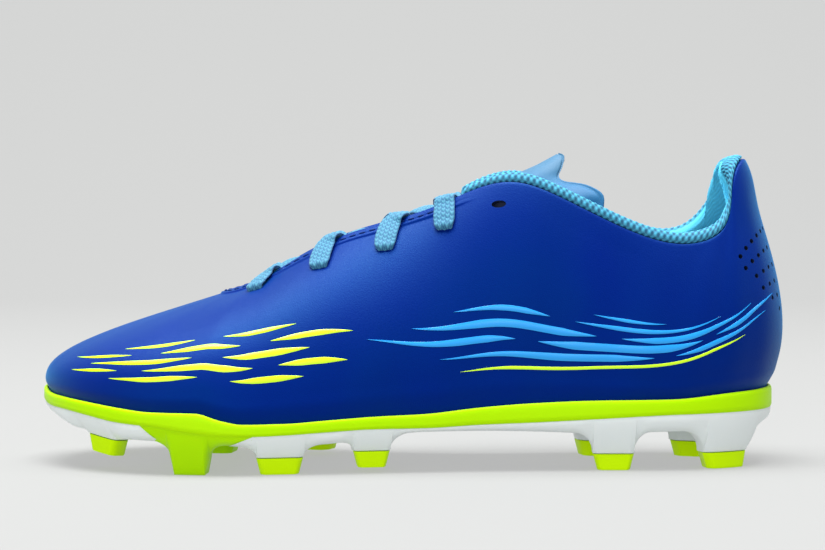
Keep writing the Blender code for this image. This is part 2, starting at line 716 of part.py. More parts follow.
def strap_builder(start, end, side):
    """Flat lace from one eyelet over the throat's edge, across the tongue and under the far edge."""
    from_turn, from_below = start[0], start[1] * THROAT_BAND
    lean = from_turn - max(end[0], LACE_TUCK)
    over = FIT_GAP + LACE_THICKNESS / 2
    step_over = THROAT_STEP + over
    outside = (
        # share of the lean, distance below the edge, height over the outer face
        (0.00, from_below + 0.25 * THROAT_BAND, over + 0.5 * THROAT_STEP),
        (0.03, 0.5 * (from_below + THROAT_BAND), step_over + 0.5 * FIT_GAP),
        (0.10, 0.6 * THROAT_BAND, step_over + FIT_GAP),
        (0.20, -0.8 * THROAT_BAND, step_over + 2 * FIT_GAP),
    )
    points, normals = [], []
    for share, below, height in outside:
        turn = from_turn - share * lean
        turn = turn if side < 0 else RING - turn
        points.append(wall(turn, below, -height))
        normals.append(skin_normal(np.array(turn), level_below(turn, below)[0]))
    rows = [row[0] for row in TONGUE]
    on_tongue = ((0.40, -0.14), (0.50, 0.04), (0.62, 0.22), (0.71, 0.37))
    for share, across in on_tongue:
        place = np.interp(-(from_turn - share * lean), [-row for row in rows], range(len(rows)))
        across *= -side
        normal = tongue_normal(place, across)
        points.append(tongue_point(place, across) + normal * (over + 0.5 * FIT_GAP))
        normals.append(normal)
    return swept_strap(points, normals)


def swept_strap(points, normals):
    """Rectangle of the lace's size swept through points, turned to the given normals."""
    points = np.array(points)
    normals = np.array(normals)
    sample = np.linspace(0, len(points) - 1, 2 * (len(points) - 1) + 1)
    keys = np.arange(len(points))
    path = np.stack([smooth_through(keys, points[:, i], sample) for i in range(3)], axis=1)
    lean = np.stack([smooth_through(keys, normals[:, i], sample) for i in range(3)], axis=1)
    tangent = np.gradient(path, axis=0)
    across = np.cross(tangent, lean)
    across /= np.linalg.norm(across, axis=1, keepdims=True)
    face = np.cross(across, tangent)
    face /= np.linalg.norm(face, axis=1, keepdims=True)
    builder = bmesh.new()
    loops = []
    for p, a, n in zip(path, across * LACE_WIDTH / 2, face * LACE_THICKNESS / 2):
        corners = (p - a - n, p + a - n, p + a + n, p - a + n)
        loops.append([builder.verts.new(corner) for corner in corners])
    for first, second in zip(loops, loops[1:]):
        bridge(builder, first, second)
    builder.faces.new(loops[0])
    builder.faces.new(loops[-1])
    return builder


def smooth_through(keys, values, sample):
    """Catmull-Rom values through evenly spaced keys."""
    values = np.asarray(values, float)
    slope = np.gradient(values)
    i = np.clip(np.floor(sample).astype(int), 0, len(keys) - 2)
    f = sample - i
    start = (1 + 2 * f) * (1 - f) ** 2 * values[i] + f * (1 - f) ** 2 * slope[i]
    return start + f**2 * (3 - 2 * f) * values[i + 1] + f**2 * (f - 1) * slope[i + 1]


def build_laces(collection, cutters, material):
    """Four crossings, each of two straps that meet over the tongue."""
    for number, (start, end) in enumerate(zip(EYELETS, EYELETS[1:]), 1):
        strap = add_object(f"lace_{number}", strap_builder(start, end, -1), collection, material)
        other = add_object(f"lace_strap_{number}", strap_builder(start, end, 1), cutters)
        add_boolean(strap, other, "UNION")


def main():
    for startup in list(bpy.data.objects):
        bpy.data.objects.remove(startup)
    cleat = bpy.data.collections.new("soccer_cleat")
    cutters = bpy.data.collections.new("cutters")
    bpy.context.scene.collection.children.link(cleat)
    bpy.context.scene.collection.children.link(cutters)

    lime = new_material("sole_lime", (0.43, 0.85, 0.0), 0.38)
    white = new_material("sole_white", (0.62, 0.69, 0.70), 0.35)
    blue = new_material("upper_blue", (0.0, 0.045, 0.45), 0.42)
    knit = new_material("collar_knit", (0.10, 0.53, 0.72), 0.85)
    cloth = new_material("tongue_cloth", (0.05, 0.38, 0.75), 0.80)
    bed = new_material("insole_cloth", (0.03, 0.25, 0.45), 0.85)
    lace = new_material("lace_knit", (0.10, 0.45, 0.80), 0.80)

    build_sole(cleat, cutters, lime, white)
    build_upper(cleat, cutters, blue)
    build_collar(cleat, knit)
    build_tongue(cleat, cloth)
    build_insole(cleat, bed)
    build_laces(cleat, cutters, lace)


main()
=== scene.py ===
"""Looks of the soccer cleat: fine meshes, prints, seams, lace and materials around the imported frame.

Metres, +Z up. The toe points to -X and the outer (lateral) side to -Y. The shoe's forms are worked out from
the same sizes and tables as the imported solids, with many more sections.
"""

import math

import bmesh
import bpy
import numpy as np
from mathutils import Matrix, Vector

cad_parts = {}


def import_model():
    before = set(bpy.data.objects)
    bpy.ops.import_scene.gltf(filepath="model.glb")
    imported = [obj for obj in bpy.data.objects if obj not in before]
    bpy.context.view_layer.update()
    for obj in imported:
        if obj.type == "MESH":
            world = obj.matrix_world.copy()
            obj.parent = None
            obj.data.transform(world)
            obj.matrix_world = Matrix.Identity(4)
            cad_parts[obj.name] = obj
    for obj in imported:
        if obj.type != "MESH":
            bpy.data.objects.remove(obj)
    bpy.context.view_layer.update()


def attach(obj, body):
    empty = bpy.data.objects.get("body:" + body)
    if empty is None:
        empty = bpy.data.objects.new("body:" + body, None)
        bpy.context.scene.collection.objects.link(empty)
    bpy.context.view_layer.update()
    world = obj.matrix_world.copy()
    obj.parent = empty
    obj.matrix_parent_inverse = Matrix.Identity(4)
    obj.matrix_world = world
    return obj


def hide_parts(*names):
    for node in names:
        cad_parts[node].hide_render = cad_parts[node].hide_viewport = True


# Overall sizes
SHOE_LENGTH = 0.236
BALL_WIDTH = 0.0835
COLLAR_HEIGHT = 0.0963
SOLE_HEIGHT = 0.025

# Walls and clearances
UPPER_WALL = 0.0016
THROAT_STEP = 0.0005
THROAT_BAND = 0.0040
RIM_WALL = 0.0013
PLATE_FLOOR = 0.0015
FIT_GAP = 0.0003
SEAM_GAP = 0.0002
COLLAR_GAP = 0.0006
LACE_ROOM = 0.0023

# Soft pieces
COLLAR_PAD = 0.0045
COLLAR_HEM = 0.0011
COLLAR_DEPTH = 0.0280
COLLAR_RISE = 0.0029
TONGUE_THICKNESS = 0.0025
INSOLE_THICKNESS = 0.0035
LACE_WIDTH = 0.0070
LACE_THICKNESS = 0.0012
EYELET_LENGTH = 0.0046
EYELET_WIDTH = 0.0024

# Studs
STUD_TIP_HEIGHT = 0.0050
STUD_DEPTH = 0.0088
STUD_INSET = 0.0093
STUD_TAPER = 0.0013

# The last, heel to toe. "foot" and "edge" are shares of the shoe's length from its rear end, for the rim
# of the sole and for the top edge of the upper. The half widths are shares of the ball width, and the
# edge's height is a share of the collar height.
LAST = (
    # foot, foot_lateral, foot_medial, edge, edge_lateral, edge_medial, height
    (0.0145, 0.000, 0.000, 0.0590, 0.000, 0.000, 1.000),
    (0.0203, 0.101, 0.101, 0.0635, 0.081, 0.078, 0.993),
    (0.0360, 0.186, 0.186, 0.0710, 0.139, 0.132, 0.958),
    (0.0572, 0.241, 0.244, 0.0760, 0.170, 0.163, 0.898),
    (0.0826, 0.282, 0.287, 0.0810, 0.197, 0.194, 0.820),
    (0.1123, 0.312, 0.318, 0.0955, 0.225, 0.227, 0.764),
    (0.1440, 0.331, 0.337, 0.1250, 0.250, 0.258, 0.735),
    (0.1822, 0.342, 0.346, 0.1650, 0.273, 0.283, 0.737),
    (0.2246, 0.347, 0.340, 0.2119, 0.285, 0.293, 0.773),
    (0.2712, 0.347, 0.325, 0.2606, 0.290, 0.293, 0.828),
    (0.3178, 0.348, 0.306, 0.3093, 0.281, 0.281, 0.887),
    (0.3665, 0.353, 0.289, 0.3602, 0.255, 0.255, 0.930),
    (0.4174, 0.364, 0.282, 0.4110, 0.210, 0.210, 0.914),
    (0.4703, 0.383, 0.289, 0.4619, 0.168, 0.168, 0.858),
    (0.5254, 0.407, 0.316, 0.5212, 0.140, 0.140, 0.806),
    (0.5847, 0.436, 0.364, 0.5826, 0.125, 0.125, 0.761),
    (0.6483, 0.467, 0.424, 0.6377, 0.115, 0.115, 0.700),
    (0.7161, 0.497, 0.474, 0.6843, 0.101, 0.101, 0.632),
    (0.7881, 0.492, 0.500, 0.7161, 0.074, 0.074, 0.592),
    (0.8602, 0.441, 0.484, 0.7331, 0.044, 0.044, 0.577),
    (0.9280, 0.337, 0.400, 0.7395, 0.024, 0.024, 0.573),
    (0.9780, 0.176, 0.262, 0.7412, 0.010, 0.011, 0.572),
    (1.0000, -0.042, 0.042, 0.7415, 0.000, 0.000, 0.572),
)

# How much higher the top edge runs on the medial side beside the heel, by row of LAST, as a share of the
# collar height.
MEDIAL_RISE = {3: 0.018, 4: 0.050, 5: 0.060, 6: 0.016}

# The sole's lines from heel to toe, at shares of the shoe's length: the top of the rim, the lime and
# white line, and the white frame's underside, as shares of the sole height.
SOLE_LINES = (
    # share, rim, line, under
    (0.000, 1.005, 0.735, 0.520),
    (0.080, 0.960, 0.720, 0.488),
    (0.160, 0.895, 0.704, 0.480),
    (0.258, 0.884, 0.656, 0.464),
    (0.343, 0.852, 0.616, 0.488),
    (0.415, 0.800, 0.592, 0.500),
    (0.483, 0.732, 0.560, 0.496),
    (0.551, 0.708, 0.556, 0.430),
    (0.610, 0.672, 0.530, 0.366),
    (0.665, 0.640, 0.500, 0.346),
    (0.718, 0.636, 0.488, 0.352),
    (0.750, 0.690, 0.494, 0.372),
    (0.780, 0.772, 0.520, 0.392),
    (0.840, 0.776, 0.602, 0.408),
    (0.890, 0.822, 0.644, 0.424),
    (0.924, 0.862, 0.700, 0.450),
    (0.960, 0.898, 0.752, 0.516),
    (0.988, 0.925, 0.776, 0.650),
    (1.000, 0.975, 0.830, 0.750),
)

# The upper's side from heel to toe, as two handles of one curve from the rim to the top edge. "rise" and
# "drop" are shares of that curve's height, "reach" of its way inward, "belly" and "brow" of ball width.
WALLS = (
    # share, rise, belly, reach, drop, brow
    (0.0145, 0.270, 0.138, 1.00, 0.34, 0.000),
    (0.0600, 0.270, 0.095, 1.00, 0.34, 0.010),
    (0.1120, 0.300, 0.068, 0.60, 0.30, 0.024),
    (0.2000, 0.320, 0.060, 0.50, 0.28, 0.036),
    (0.3000, 0.350, 0.056, 0.50, 0.24, 0.042),
    (0.4000, 0.400, 0.056, 0.50, 0.17, 0.036),
    (0.5000, 0.420, 0.060, 0.52, 0.13, 0.024),
    (0.6000, 0.430, 0.058, 0.56, 0.13, 0.012),
    (0.7000, 0.450, 0.052, 0.62, 0.14, 0.000),
    (0.8000, 0.460, 0.046, 0.66, 0.22, 0.000),
    (0.9000, 0.430, 0.046, 0.70, 0.33, 0.000),
    (1.0000, 0.330, 0.075, 0.72, 0.43, 0.000),
)

# Eyelets from toe to heel: rows of LAST where they sit, and distance below the edge as a share of the
# throat band.
EYELETS = (
    # turn, below
    (17.36, 1.95),
    (15.68, 2.60),
    (14.23, 2.65),
    (12.88, 2.30),
    (11.50, 1.90),
)

# Turn beside which the last crossing of the lace tucks in, short of the collar.
LACE_TUCK = 12.85

# Tongue rows from under the vamp to the collar: the row of LAST that its sides follow, how far down they
# reach as a share of the throat band, whether they run under the lace (1) or lie against the upper (0),
# and the crest line as shares of the shoe's length and of the collar height.
TONGUE = (
    # turn, side, under_lace, crest, height
    (18.30, 2.0, 0.00, 0.7627, 0.528),
    (17.60, 2.3, 0.35, 0.7245, 0.566),
    (16.80, 2.6, 1.00, 0.6864, 0.614),
    (15.90, 2.8, 1.00, 0.6356, 0.682),
    (15.00, 2.9, 1.00, 0.5763, 0.738),
    (14.10, 2.9, 1.00, 0.5212, 0.788),
    (13.20, 2.8, 1.00, 0.4661, 0.836),
    (12.30, 2.6, 1.00, 0.4131, 0.896),
    (11.40, 2.3, 1.00, 0.3686, 0.945),
    (10.60, 1.9, 1.00, 0.3326, 0.984),
)

# Share of the tongue's half width, from its crest, that shows between the upper's edges.
TONGUE_TUCK = 0.55

# Top edge of the tongue from its peak to the side: half width as a share of ball width, and shares of
# the shoe's length and of the collar height.
TONGUE_EDGE = (
    # half, share, height
    (0.000, 0.3030, 1.024),
    (0.028, 0.2955, 1.014),
    (0.058, 0.2985, 0.978),
    (0.086, 0.3040, 0.947),
    (0.120, 0.2960, 0.931),
    (0.165, 0.2690, 0.921),
    (0.200, 0.2480, 0.890),
    (0.209, 0.2470, 0.840),
)

# Studs: place of the rim beside each as a share of the shoe's length, side (-1 lateral, 1 medial), way in
# from the rim as a share of the stud inset, length of the face as a share of the shoe's length, height of
# the face off the floor as a share of the tip's height, slope of the face, and the piece that carries it.
STUDS = (
    # name, share, side, inset, length, lift, slope, carrier
    ("toe_lateral", 0.922, -1, 1.00, 0.034, 1.02, -0.20, "toe"),
    ("toe_medial", 0.930, 1, 1.00, 0.034, 1.02, -0.20, "toe"),
    ("ball_lateral", 0.792, -1, 1.00, 0.038, 0.00, 0.00, "tray"),
    ("ball_medial", 0.763, 1, 1.60, 0.040, 0.00, 0.00, "tray"),
    ("fore_lateral", 0.668, -1, 1.00, 0.050, 0.00, 0.00, "rear"),
    ("fore_medial", 0.615, 1, 1.30, 0.042, 0.32, 0.00, "rear"),
    ("waist_lateral", 0.5485, -1, 1.00, 0.037, 0.32, 0.00, "rear"),
    ("heel_front_lateral", 0.234, -1, 1.00, 0.043, 0.00, 0.00, "rear"),
    ("heel_front_medial", 0.251, 1, 1.00, 0.043, 0.00, 0.00, "rear"),
    ("heel_back_lateral", 0.068, -1, 1.00, 0.052, 0.00, 0.00, "rear"),
    ("heel_back_medial", 0.100, 1, 1.00, 0.052, 0.00, 0.00, "rear"),
)

# Where the white frames stop on each side of the lime band under the ball: a point of each cut as shares
# of the shoe's length and the sole height, the cut's lean in the side view in radians, and its skew in
# the plan.
TOE_CUT = (0.839, 0.520, 0.870, 0.09)
REAR_CUT = (0.717, 0.430, 1.190, 0.09)

# Fineness of the meshes
UPPER_STATIONS = 440
UPPER_ROWS = 64
COLLAR_STATIONS = 640
COLLAR_ROWS = 76
TONGUE_COLUMNS = 60
TONGUE_ROWS = 120
INSOLE_STATIONS = 160
SOLE_STATIONS = 240
RIM_STATIONS = 300
LACE_STEP = 0.0003
LACE_COLUMNS = 34
STREAK_STEPS = 10
WELD_REACH = 0.00002

# Angles in degrees beyond which an edge stays sharp
HOLE_ANGLE = 40
CUT_ANGLE = 55
CAP_ANGLE = 40
TRAY_ANGLE = 50
FILM_ANGLE = 50

# The folded strip along the throat, from below it up to the top edge: distance below the edge as a share
# of the throat band, share of the raised step, and depth in as a share of the wall.
STRIP_STEPS = (
    # below, raised, depth
    (1.30, 0.00, 0.00),
    (1.16, 0.00, 0.00),
    (1.08, 0.25, 0.00),
    (1.03, 0.75, 0.00),
    (0.96, 1.00, 0.00),
    (0.78, 1.05, 0.00),
    (0.70, 0.70, 0.00),
    (0.62, 1.05, 0.00),
    (0.30, 1.00, 0.00),
    (0.14, 0.95, 0.02),
    (0.05, 0.70, 0.12),
    (0.00, 0.25, 0.40),
)

# Levels of the wall's inner face below the top edge, as shares of the throat band
LINING_STEPS = (0.02, 0.2, 0.6, 1.0)

# Thread of the throat: distance below the edge, last turn, height over the strip, and sizes of one stitch
STITCH_BELOW = 0.0028
STITCH_END = 12.7
STITCH_OUT = 0.00005
STITCH_LENGTH = 0.0022
STITCH_SPACE = 0.0010
STITCH_WIDTH = 0.00070

# Unevenness of the upper: low swells, the roll above the glued rim, the round top of the heel, and soft
# troughs where the ball flexes
SWELL = 0.00013
RIM_ROLL = 0.00022
HEEL_ROUND = 0.0020
FLEX_TROUGHS = (
    # turn, slant, width, depth
    (15.6, 0.9, 0.55, 0.00035),
    (14.4, 0.7, 0.60, 0.00022),
    (8.6, -0.8, 0.70, 0.00025),
)

# Depth of the pins that cut the eyelets and pinholes
PIN_DEPTH = 6 * UPPER_WALL

# Pinholes beside the heel, as rows of one level
HEEL_HOLE = 0.0015
HEEL_HOLE_STEP = 0.50
HEEL_HOLES = (
    # level, count, first turn
    (0.715, 6, 0.80),
    (0.640, 5, 1.05),
    (0.568, 4, 0.95),
    (0.502, 3, 1.15),
    (0.440, 2, 1.10),
    (0.378, 1, 1.00),
)

# Collar cover: the seam's place along its section, and in millimetres the taper of the roll's front ends,
# the seam's width and the pitch of its mesh and ribs
COLLAR_SEAM = 0.0098
COLLAR_SEAM_DIP = 0.0004
COLLAR_TAPER = 2.5
SEAM_BLEND = 0.25
SEAM_WIDTH = 0.6
COLLAR_FOOT = 0.0003
COLLAR_HEEL_IN = 0.0011
MESH_PITCH = 2.0
MESH_ROW = 1.7
MESH_RELIEF = 0.00020
RIB_PITCH = 1.3
RIB_BEAD = 0.9
RIB_RELIEF = 0.00016

# How much more the roll stands over the top edge than COLLAR_RISE says
COLLAR_LIFT = (
    # turn, times
    (0.0, 0.62),
    (1.2, 0.72),
    (2.2, 1.20),
    (3.2, 1.90),
    (4.2, 2.10),
    (5.4, 1.80),
    (6.8, 1.50),
    (11.0, 1.50),
    (12.6, 0.90),
)

# Tongue: steps of its grid over which the rim rounds off, and from the rim to its sewn channel
TONGUE_ROUND = 2.5
TONGUE_SEAM = 5.0
TONGUE_SEAM_DIP = 0.0005

# Tongue: share of its thickness that is left at the rim, and rows and lead of the run-out to its top edge
TONGUE_RIM = 0.25
TONGUE_LIP_ROWS = 20
TONGUE_LIP_LEAD = 1.2

# The insole's section from its lower rim to its top: way in from the upper, and shares of its thickness for
# the whole bed and for the raised heel.
INSOLE_SECTION = (
    # inset, bed, heel
    (0.0012, 0.00, 0.00),
    (0.0003, 0.10, 0.00),
    (0.0000, 0.25, 0.00),
    (0.0000, 0.85, 0.50),
    (0.0003, 0.97, 0.60),
    (0.0010, 1.00, 0.60),
    (0.0030, 1.00, 0.30),
    (0.0060, 1.00, 0.05),
    (0.0085, 1.00, 0.00),
)

# Lace knit and the lace's way over the shoe
KNIT_COLUMNS = 5
KNIT_PITCH = 0.0016
KNIT_RELIEF = 0.00022
LACE_CUP = 0.00012
LACE_CLEARANCE = 0.0001
LACE_NEAR_LEAN = 0.9
LACE_UNDER = UPPER_WALL + FIT_GAP + LACE_THICKNESS / 2

# A strand from inside its eyelet to the throat's edge: share of the lean towards the far eyelet, place below
# the edge as shares of the eyelet's place and of the throat band with an offset, the layer that it lies in,
# share of its full width, and facing in half turns.
LACE_OUT = (
    # share, eyelet, band, offset, layer, width, facing
    (0.00, 1.0, 0.00, -0.0009, "under", 0.70, 1.00),
    (0.00, 1.0, 0.00, 0.0008, "hole", 0.66, 0.50),
    (0.00, 1.0, 0.00, 0.0009, "out", 0.84, 0.20),
    (0.01, 1.0, 0.00, -0.0012, "out", 0.97, 0.00),
    (0.05, 0.5, 0.50, -0.0006, "strip", 1.00, 0.00),
    (0.15, 0.0, 0.60, 0.0000, "strip", 1.00, 0.00),
    (0.30, 0.0, -0.10, 0.0000, "strip", 1.00, -0.15),
)

# The strand over the tongue: share of the lean, and place across the tongue towards the far side
LACE_ACROSS = (
    # share, across
    (0.27, -0.34),
    (0.38, -0.16),
    (0.50, 0.04),
    (0.62, 0.22),
    (0.71, 0.37),
    (0.79, 0.48),
)

# Lift of a strand where two cross, for both and for the upper one, and place and width of the crossing
LACE_REST = 0.00015
LACE_RAISE = 0.00115
LACE_CROSS = 0.04
LACE_CROSS_WIDTH = 0.2

# The strand under the far edge: share of the lean, place below the edge as a share of the far eyelet's with
# an offset, and share of its full width. The last row is left out where the strand tucks in.
LACE_IN = (
    # share, eyelet, offset, width
    (0.88, 0.00, 0.0015, 1.0),
    (1.00, 0.62, 0.0000, 0.9),
    (1.00, 1.00, -0.0013, 0.7),
)

# The first run on each side, from the eyelet to the edge, and its places across the tongue
BAR_IN = (
    # eyelet, offset, width
    (1.0, -0.0012, 0.70),
    (0.5, 0.0000, 0.95),
    (0.0, 0.0003, 1.00),
)
BAR_ACROSS = (-0.25, 0.0, 0.25)

# Underside of the sole
SIDE_INSET = 0.0044
INNER_INSET = 0.0100
INNER_FILLET = 0.0030
PLATE_EDGE = 0.0130
PLATE_RECESS = 0.72
STUD_FILLET = 0.0055
STUD_BLEND = 0.0022
STUD_EDGE = 0.0007

# Shares of a stud's taper on its outer and inner face
TAPER_OUT = 0.15
TAPER_IN = 0.85

# Ledge above the line under the rim, and how the side's and a stud's outer face curve on the way down
LINE_LEDGE = 0.0035
SIDE_CURVE = 3.2
STUD_CURVE = 1.5

# Steps down the sole's side, across a stud's face, and from the plate's edge (way in) into its recess (share)
SIDE_STEPS = (0.03, 0.14, 0.27, 0.40, 0.53, 0.66, 0.77, 0.86, 0.93, 0.975)
FACE_STEPS = (0.02, 0.3, 0.7, 0.98)
PLATE_STEPS = ((0.0, 0.0), (0.0006, 0.12), (0.0015, 0.6), (0.0024, 0.94), (0.0032, 1.0))

# A stud tip's section from its face up: height as a share of the tip's, and growth of its plan in STUD_EDGE
TIP_SECTION = (
    # height, growth
    (0.00, -3.60),
    (0.00, -0.25),
    (0.02, -0.10),
    (0.06, -0.02),
    (0.12, 0.00),
    (0.40, 0.00),
    (0.70, 0.00),
    (0.97, 0.00),
    (1.00, -0.03),
    (1.00, -3.60),
)

# Joint of the lime band and the white frames, and the reach of the band
LINE_GAP = 0.00003
LINE_INSET = 0.0003
BAND_ENDS = (0.883, 0.707)
BAND_SUNK = 0.00008
BAND_OVERLAP = 0.0005

# The lime rim's section from inside the line over its top and down: share of the way from line to rim, inset
RIM_SECTION = (
    # part, inset
    (0.00, 0.0040),
    (0.00, LINE_INSET),
    (0.03, 0.0002),
    (0.10, 0.0000),
    (0.30, 0.0000),
    (0.55, 0.0000),
    (0.78, 0.0000),
    (0.90, 0.0001),
    (0.96, 0.0003),
    (0.99, 0.0006),
    (1.00, 0.0009),
    (0.99, 0.0012),
    (0.93, RIM_WALL),
)

# Course of the print round the side: the row of the last, the level of its middle lane, and the level
# between neighbouring lanes
FLOW = (
    # row, level, gap
    (1.0, 0.50, 0.042),
    (4.0, 0.43, 0.045),
    (7.0, 0.35, 0.052),
    (10.0, 0.29, 0.058),
    (13.0, 0.29, 0.060),
    (15.5, 0.41, 0.066),
    (18.0, 0.44, 0.070),
    (20.5, 0.37, 0.060),
)

# Section of the printed film: share of its half width, and depth in
FILM_SECTION = (
    # reach, depth
    (-1.0, 0.00005),
    (-1.0, -0.00005),
    (-0.9, -0.00010),
    (0.0, -0.00012),
    (0.9, -0.00010),
    (1.0, -0.00005),
    (1.0, 0.00005),
)
SWEEP_STREAKS = (
    # lane, first row, last row, width, nose share, tail share
    (-1.6, 2.2, 6.4, 0.0016, 0.60, 0.25),
    (-1.6, 7.1, 12.9, 0.0021, 0.20, 0.50),
    (-0.6, 1.6, 4.8, 0.0015, 0.50, 0.30),
    (-0.6, 5.4, 10.4, 0.0023, 0.25, 0.20),
    (-0.6, 11.0, 14.6, 0.0019, 0.20, 0.60),
    (0.4, 3.0, 8.1, 0.0018, 0.55, 0.20),
    (0.4, 8.8, 13.6, 0.0022, 0.20, 0.35),
    (1.4, 4.6, 9.4, 0.0013, 0.60, 0.25),
    (1.4, 10.1, 12.6, 0.0016, 0.25, 0.50),
    (2.3, 6.8, 8.9, 0.0010, 0.50, 0.40),
)
FOREFOOT_DASHES = (
    # lane, first row, last row, width, nose share, tail share
    (-3.0, 15.9, 17.3, 0.0020, 0.35, 0.35),
    (-3.0, 17.9, 19.6, 0.0021, 0.30, 0.40),
    (-2.0, 15.0, 16.4, 0.0019, 0.35, 0.30),
    (-2.0, 16.9, 19.0, 0.0024, 0.25, 0.35),
    (-2.0, 19.5, 20.6, 0.0017, 0.35, 0.45),
    (-1.0, 15.8, 17.5, 0.0022, 0.35, 0.30),
    (-1.0, 18.1, 20.2, 0.0021, 0.30, 0.40),
    (0.0, 14.9, 16.6, 0.0018, 0.40, 0.30),
    (0.0, 17.2, 18.8, 0.0021, 0.30, 0.35),
    (0.0, 19.4, 20.8, 0.0016, 0.35, 0.45),
    (1.0, 16.1, 17.6, 0.0016, 0.40, 0.35),
    (1.0, 18.2, 19.7, 0.0016, 0.35, 0.40),
)
PINSTRIPE = (
    # lane, first row, last row, width, nose share, tail share
    (-2.5, 3.4, 12.4, 0.0009, 0.15, 0.15),
)

# Finishes: key, material, colour, roughness, grain as (scale, depth in metres, strength) layers, the
# roughness that the first layer spreads over, and the shader's other sockets.
MOULD_GRAIN = ((1400.0, 0.00004, 0.20), (200.0, 0.00006, 0.12))
YARN_GRAIN = ((5200.0, 0.00008, 0.6),)
FINISHES = (
    ("blue", "upper_blue_film", (0.0, 0.002, 0.17), 0.50,
     ((2600.0, 0.00010, 0.65), (520.0, 0.00006, 0.22)), (0.44, 0.58),
     {"IOR": 1.30, "Specular IOR Level": 1.0, "Specular Tint": (0.02, 0.48, 1.0, 1.0),
      "Sheen Weight": 0.30, "Sheen Roughness": 0.45, "Sheen Tint": (0.01, 0.50, 1.0, 1.0)}),
    ("lining", "upper_lining", (0.010, 0.060, 0.120), 0.9, ((1500.0, 0.0001, 0.5),), None, {}),
    # The hole finish is painted shade: near-black on the cut walls of the eyelets and pinholes and on the
    # collar's face behind them.
    ("edge", "hole_painted_shade", (0.0, 0.008, 0.045), 0.7, (), None, {}),
    ("lime", "sole_lime_moulded", (0.40, 0.76, 0.0), 0.40, MOULD_GRAIN, (0.34, 0.46),
     {"Specular IOR Level": 0.12, "Specular Tint": (1.0, 1.0, 0.4, 1.0), "Subsurface Weight": 0.12,
      "Subsurface Scale": 0.004, "Subsurface Radius": (0.6, 1.0, 0.2)}),
    ("tips", "stud_lime_moulded", (0.58, 0.92, 0.0), 0.42, MOULD_GRAIN, (0.36, 0.48),
     {"Specular IOR Level": 0.12, "Specular Tint": (1.0, 1.0, 0.4, 1.0)}),
    ("white", "sole_white_moulded", (0.72, 0.77, 0.77), 0.40, MOULD_GRAIN, (0.34, 0.46),
     {"Specular IOR Level": 0.5, "Coat Weight": 0.05, "Subsurface Weight": 0.15,
      "Subsurface Scale": 0.004, "Subsurface Radius": (0.8, 0.9, 1.0)}),
    ("knit", "collar_mesh_knit", (0.10, 0.55, 0.72), 0.75, YARN_GRAIN, None,
     {"Sheen Weight": 0.08, "Sheen Roughness": 0.5, "Sheen Tint": (0.3, 0.8, 1.0, 1.0)}),
    ("cloth", "tongue_satin", (0.08, 0.31, 0.56), 0.62,
     ((4200.0, 0.00006, 0.5), (900.0, 0.00005, 0.3)), None,
     {"Sheen Weight": 0.15, "Sheen Roughness": 0.35, "Sheen Tint": (0.75, 0.92, 1.0, 1.0)}),
    ("bed", "insole_cover", (0.02, 0.23, 0.42), 0.85, ((3200.0, 0.0001, 0.6),), None,
     {"Sheen Weight": 0.2}),
    ("lace", "lace_flat_knit", (0.11, 0.50, 0.85), 0.72, YARN_GRAIN, None,
     {"Sheen Weight": 0.22, "Sheen Roughness": 0.45, "Sheen Tint": (0.8, 0.95, 1.0, 1.0)}),
    ("lime_print", "print_lime", (0.604, 1.0, 0.0), 0.38, (), None, {"Coat Weight": 0.1}),
    ("cyan_print", "print_cyan", (0.0, 0.305, 0.791), 0.38, (), None, {"Coat Weight": 0.1}),
    ("thread", "thread_navy", (0.0, 0.006, 0.08), 0.6, (), None,
     {"Specular IOR Level": 0.3, "Specular Tint": (0.1, 0.4, 1.0, 1.0)}),
)

# Two tones of a finish and the reach of what they follow: a soft noise on the blue; the height on the tongue,
# a painted shade that keeps its peak lighter and its lower wings darker; and the shade attribute on the knit
# and the lace. On the knit that is its light threads over a darker layer, with painted shade in the mesh's
# hollows and the rib grooves and painted light over the whole ribbed lining; on the lace it is painted shade
# between the stitches and towards its edges.
BLUE_TONES = ((0.38, 0.62), (0.0, 0.003, 0.145), (0.0, 0.001, 0.155))
TONGUE_PAINTED_SHADE = ((0.0875, 0.0935), (0.0, 0.110, 0.26), (0.030, 0.130, 0.240))
KNIT_TONES_AND_PAINTED_LIGHT = ((-0.75, 1.75), (0.0, 0.07, 0.15), (0.10, 0.68, 0.98))
LACE_PAINTED_SHADE = ((0.02, 0.55), (0.005, 0.090, 0.21), (0.045, 0.228, 0.345))

# Floor and backdrop: front end, start and radius of the bend, top, half width, tone and glow
STAGE_FRONT = -3.0
STAGE_BACK = 0.9
STAGE_BEND = 0.6
STAGE_TOP = 3.5
STAGE_HALF = 4.0
STAGE_TONE = (0.14, 0.143, 0.14)
STAGE_GLOW = 0.405

# Lamps and the world's strength
LIGHTS = (
    # name, place, aim, size, power
    ("overhead", (-0.10, -0.20, 1.20), (-0.02, 0.0, 0.0), (0.9, 0.6), 30.5),
    ("backdrop", (0.0, 0.40, 1.60), (0.0, 1.3, 0.3), (2.4, 0.6), 30.0),
    ("front", (-0.45, -1.30, 0.26), (0.0, 0.0, 0.01), (1.5, 0.45), 7.5),
    ("side", (1.30, -0.60, 0.70), (0.0, 0.0, 0.05), (0.6, 0.6), 2.5),
)
WORLD_LIGHT = 0.30

# Camera, with its dip in degrees
CAMERA_HEIGHT = 0.096
CAMERA_AWAY = 0.800
CAMERA_DIP = 2.6024
CAMERA_LENS = 109.5

# Rows of LAST from heel to toe, turns once round the shoe, and the row where the collar ends
ROWS = len(LAST) - 1
RING = 2 * ROWS
COLLAR_END = 12.56
UP = np.array((0.0, 0.0, 1.0))


